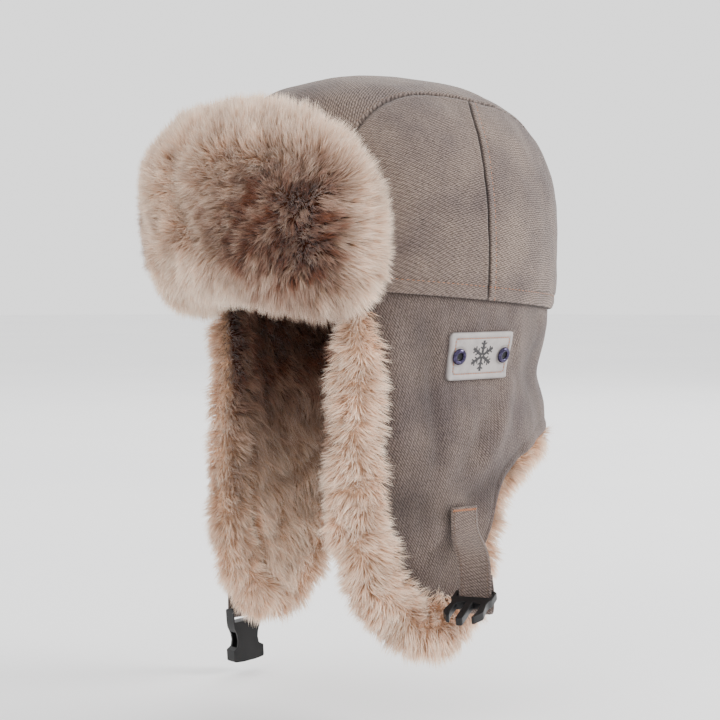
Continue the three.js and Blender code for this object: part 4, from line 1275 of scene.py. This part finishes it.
def build_edge_fur(name, nodes, coat, count, seed, roll_weight):
    points, faces, info = coat
    on_roll = info[:, 5]
    height = points[:, 2]
    # Painted shade on the wool: deeper higher up inside the hat and on the inner side of the roll.
    inside = smooth((0.15 - np.sin(info[:, 4])) / 0.7)
    dark = lining_painted_shade(height) * np.where(on_roll > 0.5, 0.9 * inside, 0.95) + 0.12
    wool = make_piece(name.replace("hair", "wool"), points, faces, WOOL)
    set_pile(wool.data, pile_colour(np.full(len(points), 0.45), np.clip(dark, 0, 1)))
    kind = on_roll[faces].max(1)
    weights = np.where(kind > 1.5, 0.0, np.where(kind > 0.5, roll_weight, 1.0))
    place, facing, chosen, s, t = sample_faces(points, faces, weights, count)
    numbers = pick(info, faces, chosen, s, t)
    rolled = numbers[:, 5] > 0.5
    away = numbers[:, :3]
    down = np.array([0.0, 0.0, -1.0])
    ridge = np.cos(numbers[:, 4]) + 0.42 * waves(place, 63, 26) + 0.18 * waves(place, 65, 9)
    side = np.clip(ridge / 0.25, -1, 1)[:, None]
    roll_lean = facing * 0.8 + down * 0.36 + away * side * 0.34
    slab_lean = facing * 0.6 + down * 0.62
    lean = np.where(rolled[:, None], roll_lean, slab_lean)
    sway = waves(place, 61, 40)[:, None] * np.cross(facing, down) * 0.3
    length = np.where(rolled, 12.0 + 1.5 * waves(place, 66, 20), 14.0)
    broken = smooth(waves(place, 64, 28) * 0.9 + 0.55)
    # Painted shade on the hairs: inside the hat, on the inner side of the roll and in the parting along the
    # roll's ridge, with a little random tone.
    parting = np.exp(-((ridge / 0.15) ** 2)) * rolled * broken * (np.sin(numbers[:, 4]) > 0)
    inside = smooth((0.15 - np.sin(numbers[:, 4])) / 0.7)
    dark = lining_painted_shade(place[:, 2]) * np.where(rolled, 0.9 * inside, 0.95)
    dark = dark + 0.36 * parting + 0.04 * rolled * smooth(waves(place, 67, 12))
    return hair_piece(
        name, place - facing * 2.0, facing, lean + sway, length * (1 - 0.15 * parting),
        HAIR_WIDTH, np.clip(dark, 0, 1), 7.5, nodes, seed,
    )


def build_lower_furs():
    front = float(angle_at_y(FRONT_EDGE_Y))
    ear_end = float(angle_at_y(SPLIT_Y))
    neck_start = float(angle_at_y(SPLIT_Y - 3))
    inset = 4.5
    roll = roll_coat(front, ear_end, True, EAR_ROLL, inset)
    slab = slab_coat(front, ear_end, inset)
    ear = join([roll, slab])
    build_edge_fur("ear_hair_left", ["ear_fur_left"], ear, 50000, 71, 1.7)
    build_edge_fur("ear_hair_right", ["ear_fur_right"], mirror(*ear), 48000, 72, 1.3)
    neck_roll = roll_coat(neck_start, math.pi - neck_start, False, NECK_ROLL, inset)
    neck_slab = slab_coat(neck_start, math.pi - neck_start, inset)
    build_edge_fur("neck_hair", ["neck_fur"], join([neck_roll, neck_slab]), 26000, 73, 2.0)


# Straps and buckles

STRAP_WIDTH = 19.0
STRAP_THICK = 1.6
LEFT_STRAP = {"sewn_y": -17, "x": 105, "y": -24, "bar_z": -165, "turn": 60, "loop_below": 7}
RIGHT_STRAP = {"sewn_y": -36, "x": -108, "y": -33, "bar_z": -203, "turn": 0, "loop_below": 1.4}
SEWN_TOP = -117.0
SEWN_BOTTOM = -126.0


def loop_round(below):
    half = 3 / 2 + 0.9 + STRAP_THICK / 2
    return [
        (half, -6), (half, 0), (half, below), (half * 0.7, below + 2.4), (0, below + 3.4),
        (-half * 0.7, below + 2.4), (-half, below), (-half, 0), (-half * 0.8, -4), (-0.1, -8), (0.6, -12),
    ]


def strap_route(size, sign):
    """Places down the middle of a strap, each with the direction of its width."""
    angle = angle_at_y(size["sewn_y"])
    facing = plan_normal(angle)
    lie = 0.9 + STRAP_THICK / 2
    mirror_x = np.array([sign, 1, 1])
    top = skirt_point(angle, np.array(SEWN_TOP), lie) * mirror_x
    start = skirt_point(angle, np.array(SEWN_BOTTOM), lie) * mirror_x
    turn = math.radians(size["turn"])
    side_top = np.array([-facing[1] * sign, facing[0], 0])
    side_bar = np.array([math.sin(turn), math.cos(turn), 0])
    out = np.array([math.cos(turn), -math.sin(turn), 0]) * sign
    bar = np.array([size["x"], size["y"], size["bar_z"]], float)
    loop = loop_round(size["loop_below"])
    arrive = bar + out * loop[0][0]
    arrive[2] = size["bar_z"] + 10
    controls = [start, start + (0, 0, -12), arrive + (0, 0, 18), arrive]
    points = [top]
    sides = [side_top]
    for share in np.linspace(0, 1, 9):
        weights = ((1 - share) ** 3, 3 * share * (1 - share) ** 2, 3 * share ** 2 * (1 - share), share ** 3)
        points.append(sum(w * c for w, c in zip(weights, controls)))
        sides.append(side_top + (side_bar - side_top) * smooth(share))
    for away, down in loop:
        points.append(bar + out * away - np.array([0, 0, down]))
        sides.append(side_bar)
    return np.array(points), unit(np.array(sides))


def smooth_route(points, sides, step):
    """The same route at fine even steps, rounded at its corners."""
    for _ in range(2):
        cut_points = [points[0]]
        cut_sides = [sides[0]]
        for i in range(len(points) - 1):
            for share in (0.25, 0.75):
                cut_points.append(points[i] * (1 - share) + points[i + 1] * share)
                cut_sides.append(sides[i] * (1 - share) + sides[i + 1] * share)
        points = np.array([*cut_points, points[-1]])
        sides = unit(np.array([*cut_sides, sides[-1]]))
    along = np.concatenate([[0], np.cumsum(np.linalg.norm(np.diff(points, axis=0), axis=1))])
    even = np.linspace(0, along[-1], int(along[-1] / step) + 1)
    fine = np.stack([np.interp(even, along, points[:, k]) for k in range(3)], -1)
    across = unit(np.stack([np.interp(even, along, sides[:, k]) for k in range(3)], -1))
    return fine, across, even


def build_strap(name, node, size, sign):
    points, sides, even = smooth_route(*strap_route(size, sign), 0.9)
    tangent = unit(np.gradient(points, axis=0))
    out = unit(np.cross(sides, tangent))
    half_width = STRAP_WIDTH / 2
    half = STRAP_THICK / 2
    w = np.concatenate([np.linspace(-1, 1, 15), np.linspace(1, -1, 15)])
    t = np.concatenate([np.ones(15), -np.ones(15)])
    round_edge = np.where(np.abs(w) > 0.99, 0.35, np.where(np.abs(w) > 0.85, 0.9, 1.0))
    groove = 0.16 * np.exp(-(((np.abs(w) - 0.8) / 0.05) ** 2))
    section = points[:, None] + sides[:, None] * (w * half_width)[:, None]
    section = section + out[:, None] * ((t * half * round_edge - t * groove)[None, :, None])
    frayed = 0.08 * waves(section, 81, 7)
    section = section + out[:, None] * (frayed * t)[..., None]
    count = len(w)
    faces = ring_faces(len(points), count).tolist()
    last = (len(points) - 1) * count
    faces += [list(range(count)), [last + j for j in reversed(range(count))]]
    mesh = bpy.data.meshes.new(name)
    mesh.from_pydata((section.reshape(-1, 3) * MM).tolist(), [], faces)
    fix_outward(mesh)
    # Painted shade in the grooves along the strap, and lighter edges (part wear, part painted highlight).
    shade = np.tile(0.35 * (np.abs(w) > 0.93) - 0.25 * (np.abs(np.abs(w) - 0.8) < 0.06), len(points))
    set_shade(mesh, shade)
    cloth = np.stack([np.tile(w * half_width, len(points)), np.repeat(even, count)], -1)
    vertex = corner_data(mesh)[0]
    set_uv(mesh, (turned(cloth, 40) * MM)[vertex])
    strap = finish_piece(name, mesh, SKIRT_TWILL, [node])
    facing = out if (out[2] @ (np.array([sign, 0, 0]))) > 0 else -out
    seams = []
    for share in (-0.8, 0.8):
        line = points + sides * half_width * share + facing * (half - 0.1)
        seams += stitches_on_line(line[2:-22], facing[2:-22], 2.9, 0.0)
    tack = []
    low = 2
    for number, share in enumerate(np.linspace(-0.85, 0.85, 21)):
        point = points[low] + sides[low] * half_width * share + facing[low] * (half + 0.1)
        lean = unit(tangent[low] + sides[low] * (0.7 if number % 2 else -0.7))
        tack.append((point, lean, facing[low]))
    return seams, tack


def fix_outward(mesh):
    work = bmesh.new()
    work.from_mesh(mesh)
    bmesh.ops.recalc_face_normals(work, faces=work.faces)
    work.to_mesh(mesh)
    work.free()


def build_buckle(name, node, width):
    """The node's own shape with its flat faces joined and all its edges rounded."""
    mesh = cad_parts[node].data.copy()
    mesh.name = name
    work = bmesh.new()
    work.from_mesh(mesh)
    bmesh.ops.remove_doubles(work, verts=work.verts, dist=1e-6)
    bmesh.ops.dissolve_limit(work, angle_limit=math.radians(2), verts=work.verts, edges=work.edges)
    sharp = [e for e in work.edges if len(e.link_faces) == 2 and e.calc_face_angle(0) > math.radians(32)]
    bmesh.ops.bevel(
        work, geom=sharp, offset=width * MM, offset_type="OFFSET", segments=3, profile=0.5,
        affect="EDGES", clamp_overlap=True,
    )
    bmesh.ops.recalc_face_normals(work, faces=work.faces)
    work.to_mesh(mesh)
    work.free()
    piece = finish_piece(name, mesh, PLASTIC, [node])
    shaded = piece.modifiers.new("even_shading", "WEIGHTED_NORMAL")
    shaded.keep_sharp = True
    return piece


# Patch and eyelets

PATCH_WIDTH = 51.0
PATCH_HEIGHT = 28.0
PATCH_THICK = 2.4
PATCH_Y = -2.0
PATCH_Z = -30.0
PATCH_CORNER = 3.0
EYELET_PLACE = PATCH_WIDTH / 2 - 7


def patch_point(across, up, out):
    across = np.asarray(across, float)
    z = np.asarray(PATCH_Z + np.asarray(up, float) + across * 0)
    return skirt_point(angle_at_y(PATCH_Y + across), z, np.asarray(out, float) + GAP)


def patch_normal(across, up):
    wide = patch_point(across + 4.8, up, 0) - patch_point(across - 4.8, up, 0)
    tall = patch_point(across, up + 4.8, 0) - patch_point(across, up - 4.8, 0)
    return unit(np.cross(wide, tall))


def build_patch():
    wide = np.linspace(-1.03, 1.03, 121)
    tall = np.linspace(-1.05, 1.05, 71)
    a, u = np.meshgrid(wide, tall, indexing="ij")
    fold = np.clip(np.maximum((np.abs(a) - 1) / 0.03, (np.abs(u) - 1) / 0.05), 0, 1)
    x = np.clip(a, -1, 1) * PATCH_WIDTH / 2
    y = np.clip(u, -1, 1) * PATCH_HEIGHT / 2
    dx = np.clip((np.abs(x) - (PATCH_WIDTH / 2 - PATCH_CORNER)) / PATCH_CORNER, 0, 1)
    dy = np.clip((np.abs(y) - (PATCH_HEIGHT / 2 - PATCH_CORNER)) / PATCH_CORNER, 0, 1)
    x = x - np.sign(x) * PATCH_CORNER * dx * (1 - np.sqrt(1 - dy ** 2 / 2))
    y = y - np.sign(y) * PATCH_CORNER * dy * (1 - np.sqrt(1 - dx ** 2 / 2))
    edge = np.minimum(PATCH_WIDTH / 2 - np.abs(x), PATCH_HEIGHT / 2 - np.abs(y))
    top = PATCH_THICK - 0.7 * (1 - smooth(edge / 1.1))
    top = top + 0.16 * np.exp(-(((edge - 2.2) / 0.9) ** 2)) - 0.3 * np.exp(-(((edge - 3.7) / 0.55) ** 2))
    ring = np.minimum(np.hypot(x - EYELET_PLACE, y), np.hypot(x + EYELET_PLACE, y))
    top = top - 0.35 * np.exp(-(((ring - 5.1) / 0.8) ** 2))
    out = top * (1 - fold) - 0.4 * fold
    points = patch_point(x, y, out)
    faces = grid_faces(len(wide), len(tall))
    piece = make_piece("leather_patch", points, faces, LEATHER, ["patch"])
    # Darker at the edge; painted shade where the patch turns under, in the groove inside the stitches and
    # round the eyelets.
    shade = -0.5 * np.exp(-((edge / 0.7) ** 2)) - 0.6 * np.exp(-(((edge - 3.7) / 0.5) ** 2))
    shade = shade - 0.9 * fold - 0.5 * np.exp(-(((ring - 5.2) / 0.7) ** 2))
    set_shade(piece.data, shade.ravel())
    fix_outward(piece.data)
    inset = 3.7
    half_x = PATCH_WIDTH / 2 - inset
    half_y = PATCH_HEIGHT / 2 - inset
    line = []
    for x0, y0, x1, y1 in (
        (-half_x + 1.5, half_y, half_x - 1.5, half_y), (half_x, half_y - 1.5, half_x, -half_y + 1.5),
        (half_x - 1.5, -half_y, -half_x + 1.5, -half_y), (-half_x, -half_y + 1.5, -half_x, half_y - 1.5),
    ):
        for share in np.linspace(0, 1, 30):
            line.append((x0 + (x1 - x0) * share, y0 + (y1 - y0) * share))
    line.append(line[0])
    flat = np.array(line)
    route = patch_point(flat[:, 0], flat[:, 1], PATCH_THICK - 0.05)
    out_way = patch_normal(flat[:, 0], flat[:, 1])
    return stitches_on_line(route, out_way, 1.95, 0.0)


def build_motif():
    """A plain six-armed snowflake, printed slightly proud in the middle of the patch."""
    points = []
    faces = []

    def bar(x0, y0, x1, y1, wide):
        length = math.hypot(x1 - x0, y1 - y0)
        nx = -(y1 - y0) / length * wide / 2
        ny = (x1 - x0) / length * wide / 2
        start = len(points)
        steps = 5
        for k in range(steps + 1):
            px = x0 + (x1 - x0) * k / steps
            py = y0 + (y1 - y0) * k / steps
            for side, out in ((-1, -0.3), (-1, 0.14), (1, 0.14), (1, -0.3)):
                place = patch_point(px + nx * side, py + ny * side, PATCH_THICK + out)
                points.append(place)
        for k in range(steps):
            for j in range(3):
                a = start + 4 * k + j
                faces.append([a, a + 1, a + 5, a + 4])
        faces.append([start, start + 1, start + 2, start + 3])
        last = start + 4 * steps
        faces.append([last + 3, last + 2, last + 1, last])

    for arm in range(6):
        turn = math.radians(30 + 60 * arm)
        cos = math.cos(turn)
        sin = math.sin(turn)
        bar(0.5 * cos, 0.5 * sin, 9.0 * cos, 9.0 * sin, 1.7)
        for reach, twig in ((3.8, 2.6), (6.3, 2.6)):
            for side in (-1, 1):
                bend = turn + side * math.radians(58)
                x0 = reach * cos
                y0 = reach * sin
                bar(x0, y0, x0 + twig * math.cos(bend), y0 + twig * math.sin(bend), 0.85)
    points = np.array(points)
    piece = make_piece("snowflake_print", points, faces, PRINT, smooth_faces=False)
    fix_outward(piece.data)


def build_eyelet(name, node, sign):
    """A rolled metal rim, with a dark plastic plug filling its hole as painted shade."""
    across = sign * EYELET_PLACE
    middle = patch_point(across, 0.0, PATCH_THICK)
    out = patch_normal(np.array(across), np.array(0.0))
    wide = unit(np.cross(np.array([0.0, 0.0, 1.0]), out))
    tall = np.cross(out, wide)
    profile = [(4.8, -0.1), (4.85, 0.25), (4.7, 0.7), (4.3, 1.15), (3.8, 1.45), (3.3, 1.55), (2.8, 1.45),
               (2.4, 1.15), (2.15, 0.7), (2.1, 0.2), (2.1, -0.2)]
    around = np.linspace(0, 2 * math.pi, 48, endpoint=False)
    points = [
        middle + (wide * math.cos(turn) + tall * math.sin(turn)) * radius + out * (high + 0.35)
        for turn in around for radius, high in profile
    ]
    faces = grid_faces(48, len(profile), True)
    rim = make_piece(name, np.array(points), faces, METAL, [node])
    fix_outward(rim.data)
    # A dark closed plug sits in the hole where only shade would show: painted shade.
    painted_shade_plug = [middle + (wide * math.cos(turn) + tall * math.sin(turn)) * radius + out * high
              for turn in around for radius, high in ((2.3, 1.0), (2.05, 0.45), (1.2, 0.3), (0.25, 0.3))]
    hub = len(painted_shade_plug)
    faces = grid_faces(48, 4, True).tolist() + [[i * 4 + 3, ((i + 1) % 48) * 4 + 3, hub] for i in range(48)]
    painted_shade_plug.append(middle + out * 0.3)
    hole = make_piece(name + "_barrel", np.array(painted_shade_plug), faces, PLASTIC)
    hole.parent = rim


def build_threads(name, places, half_length, half_width, material):
    points, faces = stitch_mesh(places, half_length, half_width)
    piece = make_piece(name, np.array(points), faces, material)
    fix_outward(piece.data)
    return piece


# The whole hat

def crown_threads(lines):
    brown = []
    orange = []
    for (kind, side), (points, normals) in lines.items():
        if len(points) < 4:
            continue
        target = brown if kind == "strip" else orange
        if kind == "hem":
            points = [*points, points[0]]
            normals = [*normals, normals[0]]
        target += stitches_on_line(points, normals, 3.2, 0.12)
    build_threads("crown_seam_threads", brown, 1.25, 0.3, BROWN_THREAD)
    build_threads("crown_top_threads", orange, 1.15, 0.24, ORANGE_THREAD)


camera()
studio()
crown_threads(build_crown())
build_skirt()
build_backing()
build_forehead_fur()
build_lower_furs()
left_seams, left_tack = build_strap("chin_strap_left", "strap_left", LEFT_STRAP, 1)
right_seams, right_tack = build_strap("chin_strap_right", "strap_right", RIGHT_STRAP, -1)
build_threads("strap_threads", left_seams + right_seams, 1.05, 0.22, BROWN_THREAD)
build_threads("strap_bar_tacks", left_tack + right_tack, 1.0, 0.2, ORANGE_THREAD)
build_buckle("plug_moulded", "buckle_plug", 0.55)
build_buckle("socket_moulded", "buckle_socket", 0.6)
build_threads("patch_threads", build_patch(), 0.75, 0.24, ORANGE_THREAD)
build_motif()
build_eyelet("eyelet_rim_front", "eyelet_front", -1)
build_eyelet("eyelet_rim_rear", "eyelet_rear", 1)
